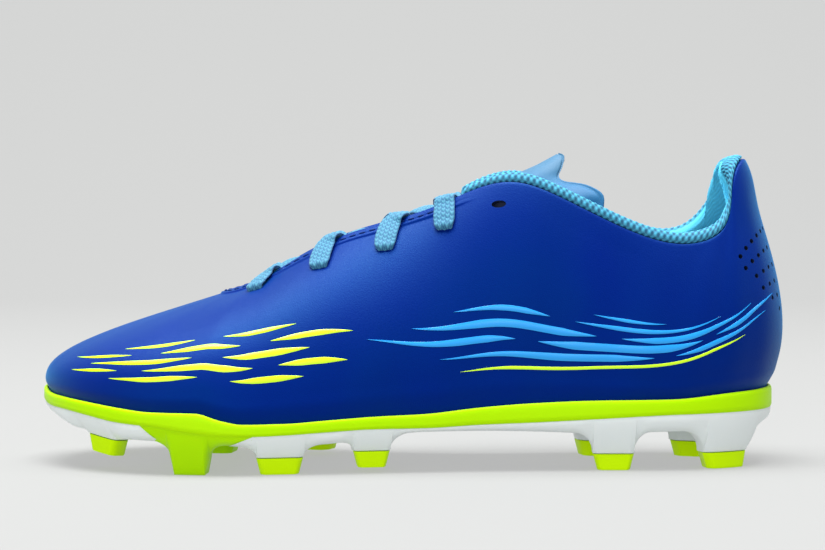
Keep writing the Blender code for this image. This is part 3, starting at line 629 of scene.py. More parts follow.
def closed_spline(knots):
    """Smooth closed curve through evenly numbered knots, as a function of the place along them."""
    knots = np.asarray(knots, float)
    count = len(knots)
    step = np.eye(count)
    system = 4 * step + np.roll(step, 1, axis=0) + np.roll(step, -1, axis=0)
    second = np.roll(knots, 1, axis=0) - 2 * knots + np.roll(knots, -1, axis=0)
    bend = np.linalg.solve(system, 6 * second)

    def at(turn):
        turn = np.asarray(turn, float) % count
        low = np.floor(turn).astype(int) % count
        high = (low + 1) % count
        f = (turn - np.floor(turn))[..., None]
        bow = ((1 - f) ** 3 * bend[low] + f**3 * bend[high]) / 6
        return bow + (knots[low] - bend[low] / 6) * (1 - f) + (knots[high] - bend[high] / 6) * f

    return at


def column(table, index, place):
    """Smooth value of one column of a table at a place in its first column, without overshoot."""
    rows = np.array([row[:1] + row[index:index + 1] for row in table], float)
    x, y = rows[:, 0], rows[:, 1]
    gap = np.diff(x)
    rate = np.diff(y) / gap
    slope = np.zeros(len(x))
    for i in range(1, len(x) - 1):
        if rate[i - 1] * rate[i] > 0:
            slope[i] = 2 / (1 / rate[i - 1] + 1 / rate[i])
    slope[0], slope[-1] = rate[0], rate[-1]
    place = np.clip(place, x[0], x[-1])
    i = np.clip(np.searchsorted(x, place, side="right") - 1, 0, len(gap) - 1)
    f = (place - x[i]) / gap[i]
    start = (1 + 2 * f) * (1 - f) ** 2 * y[i] + f * (1 - f) ** 2 * gap[i] * slope[i]
    end = f**2 * (3 - 2 * f) * y[i + 1] + f**2 * (f - 1) * gap[i] * slope[i + 1]
    return start + end


def along(share):
    """World x of a share of the shoe's length, from the rear end."""
    return SHOE_LENGTH * (0.5 - share)


def ring_of(sides, medial_rise):
    """Closed ring of knots, heel to toe on the lateral side and back on the medial side."""
    lateral = [(along(x), -lat * BALL_WIDTH, z * COLLAR_HEIGHT) for x, lat, _, z in sides]
    medial = [(along(x), med * BALL_WIDTH, (z + medial_rise.get(i, 0.0)) * COLLAR_HEIGHT)
              for i, (x, _, med, z) in enumerate(sides)]
    return lateral + medial[-2:0:-1]


FOOT = closed_spline(ring_of([(row[0], row[1], row[2], 0.0) for row in LAST], {}))
EDGE = closed_spline(ring_of([(row[3], row[4], row[5], row[6]) for row in LAST], MEDIAL_RISE))


def unit(vectors):
    """The same vectors at length 1."""
    return vectors / np.linalg.norm(vectors, axis=-1, keepdims=True)


def running(path):
    """Length run along a path of points, from 0 at its first."""
    return np.append(0, np.linalg.norm(np.diff(path, axis=0), axis=-1).cumsum())


def foot_frame(turn):
    """Rim point, outward direction in the plan, and share of the length at a turn of the ring."""
    point = FOOT(turn)
    tangent = FOOT(np.asarray(turn) + 0.01) - FOOT(np.asarray(turn) - 0.01)
    out = unit(np.stack([-tangent[..., 1], tangent[..., 0], 0 * tangent[..., 0]], axis=-1))
    return point, out, 0.5 - point[..., 0] / SHOE_LENGTH


def sole_line(index, share):
    """Height of one column of SOLE_LINES at a share of the length."""
    return SOLE_HEIGHT * column(SOLE_LINES, index, share)


def floor_top(share):
    """Height of the plate's floor inside the rim."""
    return sole_line(2, share) + PLATE_FLOOR


def sole_ring(frame, inset, height):
    """Ring of points set in from the rim at some height; frame is what foot_frame gives."""
    ring = frame[0] - frame[1] * inset
    ring[..., 2] = height
    return ring


def skin(turn, v):
    """Outer face of the upper, from v = 0 at the rim to v = 1 at the top edge."""
    rim, out, share = foot_frame(turn)
    base = rim - out * (RIM_WALL + FIT_GAP)
    base[..., 2] = sole_line(1, share)
    top = EDGE(turn)
    rise, belly, reach, drop, brow = (column(WALLS, i, share)[..., None] for i in range(1, 6))
    tall = (top - base)[..., 2:]
    inward = (top - base) * (1, 1, 0)
    low = base + out * belly * BALL_WIDTH + UP * rise * tall
    high = top - inward * reach - UP * drop * tall + out * brow * BALL_WIDTH
    v = np.asarray(v, float)[..., None]
    return (1 - v) ** 3 * base + 3 * v * (1 - v) ** 2 * low + 3 * v**2 * (1 - v) * high + v**3 * top


def skin_normal(turn, v):
    """Unit normal of the outer face."""
    round_way = skin(turn + 0.02, v) - skin(turn - 0.02, v)
    top = np.minimum(v + 0.004, 1.0)
    return unit(np.cross(skin(turn, top) - skin(turn, top - 0.008), round_way))


def level_grid(turns, distances):
    """The v at each of several distances below the top edge, for each turn: distances is (turns, levels)."""
    steps = np.linspace(1, 0, 65)
    path = skin(turns[:, None], steps[None, :])
    run = np.linalg.norm(np.diff(path, axis=1), axis=-1).cumsum(axis=1)
    return np.array([np.interp(d, np.append(0, r), steps) for d, r in zip(distances, run)])


def side_length(turns):
    """Length of the upper's side from the rim to the top edge, at each turn."""
    path = skin(turns[:, None], np.linspace(0, 1, 33)[None, :])
    return np.linalg.norm(np.diff(path, axis=1), axis=-1).sum(axis=1)


def last_row(turn):
    """Row of LAST beside a turn, the same on both sides."""
    return np.minimum(turn % RING, RING - turn % RING)


def on_side(row, side):
    """Turn beside a row of LAST on the lateral (-1) or medial (1) side."""
    return row if side < 0 else RING - row


def relief(turn, v):
    """Unevenness of the worked upper, in metres: low swells, flex troughs, the heel and the rim's roll."""
    row = last_row(turn)
    medial = turn % RING > ROWS
    body = np.clip(v / 0.2, 0, 1) * np.clip((1 - v) / 0.15, 0, 1)
    swell = np.sin(1.31 * row + 5.0 * v) * np.sin(2.3 * row - 3.0 * v + 1.0 + 0.9 * medial)
    made = SWELL * swell * body
    for place, slant, width, depth in FLEX_TROUGHS:
        away = (row - place - slant * (1 - v)) / width
        made = made - depth * np.exp(-away**2) * body
    heel = HEEL_ROUND * np.exp(-((v - 0.95) / 0.12) ** 2) * np.exp(-(row / 1.6) ** 2)
    return made + heel + RIM_ROLL * np.exp(-((v - 0.075) / 0.035) ** 2)


def wall_at(turn, v, depth):
    """Point at a level v and a depth in from the outer face, relief included."""
    turn, v, depth = (part.astype(float) for part in np.broadcast_arrays(turn, v, depth))
    return skin(turn, v) + skin_normal(turn, v) * (relief(turn, v) - depth)[..., None]


def wall_grid(turns, distances, depths):
    """Points at distances below the top edge and depths in from the outer face, both (turns, levels)."""
    level = level_grid(turns, distances)
    over = np.broadcast_to(turns[:, None], level.shape)
    rising = unit(skin(over, level) - skin(over, level - 0.01))
    return wall_at(over, level, depths) + rising * np.maximum(-distances, 0)[..., None]


def wall(turn, distance, depth):
    """The same for turns, distances and depths of any one shape."""
    turn, distance, depth = np.broadcast_arrays(turn, distance, depth)
    turns, distances, depths = (part.reshape(-1, 1).astype(float) for part in (turn, distance, depth))
    return wall_grid(turns[:, 0], distances, depths).reshape(*turn.shape, 3)


def even_turns(count):
    """Turns that are evenly spread along the foot and the top edge together."""
    fine = np.linspace(0, RING, 40 * RING + 1)
    way = running(FOOT(fine)) + running(EDGE(fine))
    half = np.interp(np.linspace(0, way[20 * RING], count // 2 + 1), way, fine)
    return np.concatenate([half, RING - half[-2:0:-1]])


def side_turn(share, side):
    """Turn of the ring where the rim passes a share of the length on the lateral or medial side."""
    turns = np.linspace(0, ROWS, 20 * ROWS + 1) * -side
    shares = 0.5 - FOOT(turns)[:, 0] / SHOE_LENGTH
    return float(np.interp(share, shares, turns))


def throat_window(turn):
    """1 along the throat and 0 at the collar, with a soft step between."""
    f = np.clip((last_row(turn) - 12.0) / 0.9, 0, 1)
    return f * f * (3 - 2 * f)


def grid_object(name, points, material, wrap_u=False, wrap_v=False, shades=None, second=None):
    """Mesh from a grid of points, as a piece that rides on the shoe.

    shades is one number a point for the material. second is (material, column test) for a second finish."""
    nu, nv = points.shape[:2]
    u = np.arange(nu if wrap_u else nu - 1)[:, None]
    v = np.arange(nv if wrap_v else nv - 1)[None, :]
    corners = [(u, v), (u + 1, v), (u + 1, v + 1), (u, v + 1)]
    faces = np.stack([(a % nu) * nv + b % nv for a, b in corners], axis=-1).reshape(-1, 4)
    flat = points.reshape(-1, 3)
    tri = flat[faces[:, :3]] - flat.mean(axis=0)
    inward = np.einsum("ij,ij->i", tri[:, 0], np.cross(tri[:, 1], tri[:, 2])).sum() < 0
    mesh = bpy.data.meshes.new(name)
    mesh.from_pydata(flat.tolist(), [], (faces[:, ::-1] if inward else faces).tolist())
    if shades is not None:
        layer = mesh.attributes.new("shade", "FLOAT", "POINT")
        layer.data.foreach_set("value", shades.astype(np.float32).reshape(-1))
    if material:
        mesh.materials.append(material)
    if second:
        mesh.materials.append(second[0])
        index = np.broadcast_to(second[1](v[0])[None, :], (u.shape[0], v.shape[1])).astype(np.int32)
        mesh.polygons.foreach_set("material_index", index.reshape(-1))
    mesh.shade_smooth()
    mesh.update()
    return link_piece(name, mesh)


def link_piece(name, mesh):
    """Object of a mesh, which rides on the shoe's one body."""
    made = bpy.data.objects.new(name, mesh)
    bpy.context.scene.collection.objects.link(made)
    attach(made, "root")
    return made


def built_mesh(name, builder, material):
    """Smooth mesh of what a builder holds, in one material."""
    mesh = bpy.data.meshes.new(name)
    builder.to_mesh(mesh)
    builder.free()
    mesh.materials.append(material)
    mesh.shade_smooth()
    return mesh


def keep_sharp(mesh, angle):
    """Keeps the edges sharp that turn by more than an angle in degrees."""
    mesh.set_sharp_from_angle(angle=math.radians(angle))


def edit_mesh(mesh, change):
    """Changes a mesh by a function of its builder and points, then turns faces outward and smooths."""
    builder = bmesh.new()
    builder.from_mesh(mesh)
    change(builder, list(builder.verts))
    bmesh.ops.recalc_face_normals(builder, faces=builder.faces)
    builder.to_mesh(mesh)
    builder.free()
    mesh.shade_smooth()


def cut_holes(piece, cutters, edge):
    """Cuts pins out of a piece and keeps the result as its mesh."""
    # The pins carry the hole finish, painted shade that their cut walls take over.
    pins = bpy.data.objects.new("pins", built_mesh("pins", cutters, edge))
    bpy.context.scene.collection.objects.link(pins)
    modifier = piece.modifiers.new("holes", "BOOLEAN")
    modifier.operation = "DIFFERENCE"
    modifier.solver = "EXACT"
    modifier.material_mode = "TRANSFER"
    modifier.object = pins
    bpy.context.view_layer.update()
    graph = bpy.context.evaluated_depsgraph_get()
    cut = bpy.data.meshes.new_from_object(piece.evaluated_get(graph))
    piece.modifiers.clear()
    piece.data = cut
    cut.shade_smooth()
    keep_sharp(cut, HOLE_ANGLE)
    bpy.data.objects.remove(pins)


def oriented(centre, axes):
    """Matrix of a centre and three scaled axes."""
    matrix = Matrix.Identity(4)
    for index, axis in enumerate(axes):
        matrix.col[index].xyz = axis
    matrix.translation = centre
    return matrix


def add_pin(builder, turn, v, length, width, sides):
    """Oval pin across the upper's wall, long along the throat or the heel's rows."""
    run = unit(wall_at(turn + 0.1, v, 0.0) - wall_at(turn - 0.1, v, 0.0))
    normal = skin_normal(turn, v)
    axes = (run * length, np.cross(normal, run) * width, normal * PIN_DEPTH)
    bmesh.ops.create_cone(builder, cap_ends=True, segments=sides, radius1=0.5, radius2=0.5, depth=1.0,
                          matrix=oriented(wall_at(turn, v, UPPER_WALL / 2), axes))


def level_at(turn, distance):
    """The v at one distance below the top edge."""
    return level_grid(np.array([turn]), np.array([[distance]]))[0, 0]


def make_upper(blue, lining, edge):
    """Fine hollow wall with the folded strip along the throat, eyelets and the heel's pinholes."""
    turns = even_turns(UPPER_STATIONS)
    length = side_length(turns)[:, None]
    window = throat_window(turns)[:, None]
    strip = 1.5 * THROAT_BAND
    below, raised, inward = np.array(STRIP_STEPS).T[:, None]
    face = strip + (length - strip) * np.linspace(1, 0, UPPER_ROWS)
    sections = (
        (face, 0.0),
        (below * THROAT_BAND, -THROAT_STEP * raised * window + inward * UPPER_WALL),
        (np.array(LINING_STEPS) * THROAT_BAND, UPPER_WALL),
        (face[:, ::-2], UPPER_WALL),
    )
    pairs = [np.broadcast_arrays(distance + 0 * length, depth) for distance, depth in sections]
    distances, depths = (np.concatenate(part, axis=1) for part in zip(*pairs))
    frame = foot_frame(turns)
    foot, foot_inner = (sole_ring(frame, RIM_WALL + FIT_GAP + depth, floor_top(frame[2]) + FIT_GAP)[:, None]
                        for depth in (0.0, UPPER_WALL))
    points = np.concatenate([foot, wall_grid(turns, distances, depths), foot_inner], axis=1)
    outside = UPPER_ROWS + len(STRIP_STEPS)
    upper = grid_object("upper_shell", points, blue, True, True,
                        second=(lining, lambda column: column > outside))
    pins = bmesh.new()
    for row, below in EYELETS:
        for side in (-1, 1):
            turn = on_side(row, side)
            add_pin(pins, turn, level_at(turn, below * THROAT_BAND), EYELET_LENGTH, EYELET_WIDTH, 32)
    for v, count, first in HEEL_HOLES:
        for i in range(count):
            for side in (-1, 1):
                add_pin(pins, side * (first + HEEL_HOLE_STEP * i), v, HEEL_HOLE, HEEL_HOLE, 14)
    # The cut walls of the eyelets and pinholes take the near-black painted shade of the pins' finish.
    cut_holes(upper, pins, edge)
    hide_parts("upper")


def smooth_through(values, sample):
    """Catmull-Rom rows through evenly spaced rows of values, at places counted in rows."""
    values = np.asarray(values, float)
    slope = np.gradient(values, axis=0)
    i = np.clip(np.floor(sample).astype(int), 0, len(values) - 2)
    f = (sample - i)[:, None]
    start = (1 + 2 * f) * (1 - f) ** 2 * values[i] + f * (1 - f) ** 2 * slope[i]
    return start + f**2 * (3 - 2 * f) * values[i + 1] + f**2 * (f - 1) * slope[i + 1]


def surface_normals(points):
    """Unit normals of a grid of points."""
    normal = np.cross(np.gradient(points, axis=0), np.gradient(points, axis=1))
    return normal / np.maximum(np.linalg.norm(normal, axis=-1, keepdims=True), 1e-12)


def make_collar(knit, hole_shade_backing):
    """Padded roll with a zigzag mesh cover over its top and a ribbed lining down its inner side."""
    inside = UPPER_WALL + COLLAR_GAP
    full = inside + COLLAR_PAD
    hem = inside + COLLAR_HEM
    section = np.array((
        (0.0, inside), (-COLLAR_FOOT, inside), (-COLLAR_FOOT, 0.2 * UPPER_WALL),
        (-0.50 * COLLAR_RISE, -0.15 * UPPER_WALL), (-0.85 * COLLAR_RISE, 0.45 * UPPER_WALL),
        (-COLLAR_RISE, 0.45 * full), (-0.90 * COLLAR_RISE, 0.75 * full), (-0.45 * COLLAR_RISE, 0.95 * full),
        (0.06 * COLLAR_DEPTH, full), (0.25 * COLLAR_DEPTH, 0.96 * full),
        (0.55 * COLLAR_DEPTH, 0.5 * (full + hem)), (0.85 * COLLAR_DEPTH, hem), (COLLAR_DEPTH, hem),
    ))
    way = running(section)
    key_at = np.interp(np.linspace(0, way[-1], COLLAR_ROWS), way, np.arange(len(section)))
    back = ((COLLAR_DEPTH, inside), (0.5 * COLLAR_DEPTH, inside))
    below, depth = np.concatenate([smooth_through(section, key_at), back]).T[:, None]
    fine = np.linspace(-COLLAR_END, COLLAR_END, 4000)
    edge_way = running(EDGE(fine))
    around = np.linspace(0, edge_way[-1], COLLAR_STATIONS)
    turns = np.interp(around, edge_way, fine)
    lift = np.interp(np.abs(turns), *zip(*COLLAR_LIFT))[:, None]
    low = -COLLAR_FOOT
    below = np.where(below < low, low + (below - low) * lift, below)
    drawn = COLLAR_HEEL_IN * np.exp(-((turns / 2.0) ** 2))[:, None] * (below < 0.5 * low)
    points = wall_grid(turns, below, depth + drawn)
    around = 1000 * around[:, None]
    up = 1000 * np.array([running(ring) for ring in points])
    off_seam = up - 1000 * COLLAR_SEAM
    mesh_part = 1 / (1 + np.exp(off_seam / SEAM_BLEND))
    zigzag = np.cos(2 * np.pi * around / MESH_PITCH) * np.cos(np.pi * up / MESH_ROW)
    rib = np.cos(2 * np.pi * up / RIB_PITCH) + 0.35 * np.cos(2 * np.pi * around / RIB_BEAD)
    seam = -np.exp(-((off_seam / SEAM_WIDTH) ** 2))
    height = mesh_part * zigzag * MESH_RELIEF + (1 - mesh_part) * rib * RIB_RELIEF + seam * COLLAR_SEAM_DIP
    used = np.clip((up - 1.6) / 1.2, 0, 1) * (np.arange(points.shape[1]) < COLLAR_ROWS - 3)
    normal = surface_normals(points)
    middle = points.mean(axis=1, keepdims=True)
    outward = np.sign(np.einsum("ijk,ijk->ij", normal, points - middle).mean())
    points = points + normal * outward * (height * used)[..., None]
    middle = points.mean(axis=1, keepdims=True)
    close = np.clip(np.minimum(around, around[-1] - around) / COLLAR_TAPER, 0.03, 1)
    points = middle + (points - middle) * np.sqrt(1 - (1 - close) ** 2)[..., None]
    # Painted light and shade in the knit's colour: on the mesh, light threads over a darker layer with
    # painted shade in its hollows; on the ribbed lining, painted shade in the grooves, and the whole lining
    # lifted by painted light against the shadow it lies in.
    shade = mesh_part * (zigzag - 0.25) + (1 - mesh_part) * (1.35 + 0.4 * rib)
    # The hidden back face behind the eyelets takes the near-black hole finish: painted shade, so an eyelet
    # that looks through to it reads dark.
    collar = grid_object("collar_roll", points, knit, False, True, shade,
                         (hole_shade_backing, lambda column: (column >= COLLAR_ROWS - 1) | (column < 1)))
    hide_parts("collar_lining")


def tongue_row(place, across):
    """Points of the tongue's top face along one row: across from -1, lateral, over 0, the crest, to 1."""
    keyed = [(i, *row) for i, row in enumerate(TONGUE)]
    turn, side, under, crest, height = (float(column(keyed, i, place)) for i in range(1, 6))
    lining = float(np.clip((13.1 - turn) / 0.8, 0, 1))
    depth = UPPER_WALL + FIT_GAP + under * LACE_ROOM
    depth += lining * (COLLAR_PAD + COLLAR_GAP + FIT_GAP - LACE_ROOM)
    across = np.atleast_1d(np.asarray(across, float))
    turns = np.where(across < 0, turn, RING - turn)
    inner = 0.1 * THROAT_BAND
    out = np.abs(across)
    share = np.clip((out - TONGUE_TUCK) / (1 - TONGUE_TUCK), 0, 1)
    start = wall(turns, inner + share * (side * THROAT_BAND - inner), depth)
    way = start - wall(turns, inner + 0.001, depth)
    middle = np.array((along(crest), 0.0, height * COLLAR_HEIGHT))
    reach = 0.36 * np.linalg.norm(middle - start, axis=1)[:, None]
    level = np.zeros_like(start)
    level[:, 1] = np.copysign(reach[:, 0], start[:, 1])
    way /= np.maximum(np.linalg.norm(way, axis=1, keepdims=True), 1e-9)
    f = np.clip(1 - out / TONGUE_TUCK, 0, 1)[:, None]
    bridge = ((1 - f) ** 3 * start + 3 * f * (1 - f) ** 2 * (start + way * reach)
              + 3 * f**2 * (1 - f) * (middle + level) + f**3 * middle)
    return np.where((out >= TONGUE_TUCK)[:, None], start, bridge)


def tongue_edge(across):
    """Top edge of the tongue at places across it."""
    half = [np.array((along(share), -width * BALL_WIDTH, height * COLLAR_HEIGHT))
            for width, share, height in TONGUE_EDGE[::-1]]
    half.insert(0, half[0] + (half[0] - half[1]) * 0.5)
    row = half + [point * (1, -1, 1) for point in half[-2::-1]]
    return smooth_through(row, (across + 1) / 2 * (len(row) - 1))


def tongue_normal(place, across):
    """Unit normal of the tongue's top face."""
    run = tongue_row(place + 0.1, across)[0] - tongue_row(place - 0.1, across)[0]
    over = (tongue_row(place, min(across + 0.05, 1.0)) - tongue_row(place, max(across - 0.05, -1.0)))[0]
    normal = np.cross(over, run)
    return unit(normal * math.copysign(1.0, normal[2]))


def from_ends(count):
    """Steps to the nearer end, for each of a row of places."""
    return np.minimum(np.arange(count), np.arange(count)[::-1])


def make_tongue(cloth):
    """Thin padded tongue with a rolled rim, closed by its underside."""
    across = np.linspace(-1, 1, TONGUE_COLUMNS)
    rows = [tongue_row(place, across) for place in np.linspace(0, len(TONGUE) - 1, TONGUE_ROWS)]
    edge = tongue_edge(across)
    last = rows[-1]
    before = rows[-4]
    for f in np.linspace(0, 1, TONGUE_LIP_ROWS)[1:]:
        lead = last + (last - before) * f * TONGUE_LIP_LEAD
        rows.append(lead * (1 - f) ** 2 + edge * (1 - (1 - f) ** 2))
    top = np.array(rows)
    normal = surface_normals(top)
    normal *= np.sign(normal[..., 2].mean())
    from_rim = np.minimum(from_ends(len(rows))[:, None], from_ends(TONGUE_COLUMNS)[None, :])
    round_off = np.clip(from_rim / TONGUE_ROUND, 0.0, 1)
    swell = TONGUE_THICKNESS * (TONGUE_RIM + (1 - TONGUE_RIM) * np.sqrt(1 - (1 - round_off) ** 2))
    channel = TONGUE_SEAM_DIP * np.exp(-((from_rim - TONGUE_SEAM) / 0.9) ** 2)
    half = (swell / 2 - channel)[..., None]
    middle = top - normal * TONGUE_THICKNESS / 2
    ring = np.concatenate([middle + normal * half, (middle - normal * half)[:, ::-1]], axis=1)
    shade = np.concatenate([channel, channel[:, ::-1]], axis=1) / TONGUE_SEAM_DIP
    tongue = grid_object("tongue_padded", ring, cloth, False, True, shade)
    close_ends(tongue.data, ring.shape)
    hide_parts("tongue")


def close_ends(mesh, shape):
    """Closes the first and last ring of a tube's grid by strips of four-sided faces."""
    count = shape[1]

    def bridge(builder, verts):
        for start in (0, (shape[0] - 1) * count):
            ring = verts[start:start + count]
            for i in range(count // 2 - 1):
                builder.faces.new((ring[i], ring[i + 1], ring[count - 2 - i], ring[count - 1 - i]))

    edit_mesh(mesh, bridge)


def to_middle(ring, count):
    """Rings that follow a closed ring inward to the shoe's middle line."""
    mirror = np.concatenate([ring[:1], ring[:0:-1]])
    return [ring * (1 - f) + mirror * f for f in np.linspace(0, 0.5, count + 1)[1:]]


def make_insole(cloth):
    """Foot bed with a raised heel edge, as rings from its rim to its middle line."""
    frame = foot_frame(even_turns(INSOLE_STATIONS))
    edge = RIM_WALL + 2 * FIT_GAP + UPPER_WALL
    floor = floor_top(frame[2]) + FIT_GAP
    heel = np.clip((0.30 - frame[2]) / 0.2, 0, 1)
    rings = [sole_ring(frame, edge + inset, floor + (part + cup * heel) * INSOLE_THICKNESS)
             for inset, part, cup in INSOLE_SECTION]
    rings += to_middle(rings[-1], 23)
    insole = grid_object("insole_bed", np.array(rings).transpose(1, 0, 2), cloth, True, False)
    weld(insole.data)
    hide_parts("insole")


def weld(mesh):
    """Joins points that lie on each other."""
    edit_mesh(mesh, lambda builder, verts: bmesh.ops.remove_doubles(builder, verts=verts, dist=WELD_REACH))


def stud_layout():
    """Each stud's place on the ring, the ring's speed beside it and its sizes."""
    made = []
    for name, share, side, inset, length, lift, slope, carrier in STUDS:
        turn = side_turn(share, side)
        point, out, _ = foot_frame(np.array((turn - 0.05, turn + 0.05)))
        path = point - out * inset * STUD_INSET
        made.append({
            "name": name, "turn": turn, "speed": np.linalg.norm(path[1] - path[0]) / 0.1,
            "inset": inset * STUD_INSET, "half": length * SHOE_LENGTH / 2, "lift": lift * STUD_TIP_HEIGHT,
            "slope": slope, "carrier": carrier, "x": path[:, 0].mean(),
        })
    return made


def plan_shape(a):
    """Outer and inner half depths of a stud at a share of its half length: a blade with cut corners."""
    out_cut = np.clip((np.abs(a) - 0.72) / 0.28, 0, 1)
    in_cut = np.clip((np.abs(a) - 0.45) / 0.55, 0, 1)
    return 1 - 0.38 * out_cut**2, 1 - 0.72 * in_cut**1.6


def sole_turns(studs):
    """Turns round the sole, with a closer set at every stud's ends, the same on both sides."""
    places = [np.linspace(0, ROWS, SOLE_STATIONS // 2 + 1)]
    inside = np.array((0.0, 0.3, 0.55, 0.72, 0.82, 0.9, 0.95, 0.985))
    for stud in studs:
        wide = stud["half"] + STUD_TAPER
        rise = 1 - np.cos(np.linspace(0, np.pi / 2, 10))
        ends = wide + STUD_FILLET * rise
        face = stud["half"] + STUD_TAPER * np.array((-0.3, 0.0, 0.07, 0.35, 0.7))
        for run in (inside * wide, ends, face):
            for sign in (-1, 1):
                places.append(abs(stud["turn"]) + sign * run / stud["speed"])
    rows = np.concatenate(places)
    rows = np.sort(np.abs(np.where(rows > ROWS, 2 * ROWS - rows, rows)))
    rows = rows[np.append(True, np.diff(rows) > 2e-4)]
    rows[0], rows[-1] = 0.0, ROWS
    return np.concatenate([rows, RING - rows[-2:0:-1]])


def make_sole_sections(turns, studs, sunk, overlap):
    """Grid of the whole underside: side wall, studs and plate, one section a turn.

    sunk is how far the faces lie inside the white frames', overlap how far the top reaches over the line."""
    point, out, share = foot_frame(turns)
    line, under = sole_line(2, share) + overlap, sole_line(3, share) + sunk
    low, weight = under.copy(), 0 * under
    outer, inner = 0 * under + SIDE_INSET + sunk, 0 * under + INNER_INSET
    lean, middle = 0 * under, 0 * under
    for stud in studs:
        s = ((turns - stud["turn"] + ROWS) % RING - ROWS) * stud["speed"]
        wide = stud["half"] + STUD_TAPER
        near = np.abs(s) < wide + STUD_FILLET
        rise = np.clip((np.abs(s) - wide) / STUD_FILLET, 0, 1)
        arch = np.sqrt(1 - (1 - rise) ** 2)
        blend = np.clip((np.abs(s) - wide + STUD_BLEND) / (STUD_FILLET + STUD_BLEND), 0, 1)
        soft = 0.5 + 0.5 * np.cos(np.pi * blend)
        seam = stud["lift"] + STUD_TIP_HEIGHT + SEAM_GAP
        height = seam + (under - seam) * arch
        if stud["carrier"] == "tray":
            down = np.clip((wide - np.abs(s)) / STUD_TAPER, 0, 1)
            height = np.where(np.abs(s) < wide, seam * (1 - down), height)
        half_out, half_in = plan_shape(np.clip(s / wide, -1, 1))
        stud_outer = stud["inset"] - (STUD_DEPTH / 2 + TAPER_OUT * STUD_TAPER) * half_out
        stud_inner = stud["inset"] + (STUD_DEPTH / 2 + TAPER_IN * STUD_TAPER) * half_in
        low = np.where(near, height, low)
        weight = np.where(near, soft, weight)
        outer = np.where(near, outer + (stud_outer - outer) * soft, outer)
        inner = np.where(near, INNER_INSET + (stud_inner - INNER_INSET) * (1 - arch), inner)
        lean = np.where(near, stud["slope"], lean)
        middle = np.where(near, stud["x"], middle)
    drop = under - low
    recess = line + PLATE_RECESS * (under - line) + 5 * sunk
    top_inset = LINE_INSET + sunk
    rows = [(0 * line + LINE_LEDGE, line, 0.0), (0 * line + top_inset + 0.0001, line, 0.0)]
    for p in SIDE_STEPS:
        regular = top_inset + (SIDE_INSET + sunk - top_inset) * p**SIDE_CURVE
        steep = top_inset + (outer - top_inset) * p**STUD_CURVE
        rows.append((regular + (steep - regular) * weight, line - (line - low) * p, p))
    for f in FACE_STEPS:
        rows.append((outer + (inner - outer) * f, low, 1.0))
    for angle in np.linspace(0, np.pi / 2, 9):
        rows.append((inner + INNER_FILLET * (1 - math.cos(angle)), low + 0.0002 + drop * math.sin(angle),
                     1 - math.sin(angle)))
    plate = np.maximum(PLATE_EDGE, inner + INNER_FILLET + 0.0004)
    for step, f in PLATE_STEPS:
        rows.append((plate + step, under + 0.0002 + (recess - under) * f, 0.0))
    grid = []
    for inset, height, hold in rows:
        ring = point - out * inset[:, None]
        ring[:, 2] = height + lean * (ring[:, 0] - middle) * hold * weight
        grid.append(ring)
    return np.array(grid).transpose(1, 0, 2)


def fill_between(grid, rows_in, rows_out):
    """Adds rows from both ends of a ring's sections to the shoe's middle line."""
    first = to_middle(grid[:, 0], rows_in)[::-1]
    last = to_middle(grid[:, -1], rows_out)
    return np.concatenate([np.array(first), grid.transpose(1, 0, 2), np.array(last)]).transpose(1, 0, 2)


def cut_plane(cut, rising):
    """Point and normal, towards the heel, of a cut that leans up towards the toe or towards the heel."""
    share, height, lean, skew = cut
    normal = Vector((math.cos(lean), -skew * math.cos(lean), rising * math.sin(lean))).normalized()
    return Vector((along(share), -0.36 * BALL_WIDTH, height * SOLE_HEIGHT)), normal


def clipped(mesh, cuts, material):
    """Copy of a mesh without what lies beyond each plane, closed at its cuts."""
    builder = bmesh.new()
    builder.from_mesh(mesh)
    for point, normal in cuts:
        everything = builder.verts[:] + builder.edges[:] + builder.faces[:]
        bmesh.ops.bisect_plane(builder, geom=everything, plane_co=point, plane_no=normal, clear_outer=True)
        loose = [edge for edge in builder.edges if edge.is_boundary]
        bmesh.ops.contextual_create(builder, geom=loose)
    made = built_mesh("part", builder, material)
    keep_sharp(made, CUT_ANGLE)
    return made


def make_sole(lime, white, tips):
    """Rim and ball band in lime, the two white frames, and the lime tips."""
    studs = stud_layout()
    turns = sole_turns(studs)
    frames = [stud for stud in studs if stud["carrier"] != "tray"]
    balls = [stud for stud in studs if stud["carrier"] == "tray"]
    front, front_normal = cut_plane(TOE_CUT, 1)
    rear, rear_normal = cut_plane(REAR_CUT, -1)
    whole = underside_mesh(turns, frames, 0.0, -LINE_GAP)
    toe = clipped(whole, [(front - front_normal * LINE_GAP, front_normal)], white)
    back = clipped(whole, [(rear + rear_normal * LINE_GAP, -rear_normal)], white)
    for name, mesh in (("outsole_toe_frame", toe), ("outsole_rear_frame", back)):
        piece = link_piece(f"{name}_moulded", mesh)
        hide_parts(name)
    ends = [(Vector((along(share), 0.0, 0.0)), Vector((way, 0.0, 0.0)))
            for share, way in zip(BAND_ENDS, (-1.0, 1.0))]
    make_tray(clipped(underside_mesh(turns, balls, BAND_SUNK, BAND_OVERLAP), ends, lime), lime)
    for stud in frames:
        make_tip(stud, tips)


def underside_mesh(turns, studs, sunk, overlap):
    """Closed mesh of the underside with some of its studs."""
    grid = fill_between(make_sole_sections(turns, studs, sunk, overlap), 2, 10)
    made = grid_object("underside", grid, None, True, False)
    mesh = made.data
    bpy.data.objects.remove(made)
    weld(mesh)
    return mesh


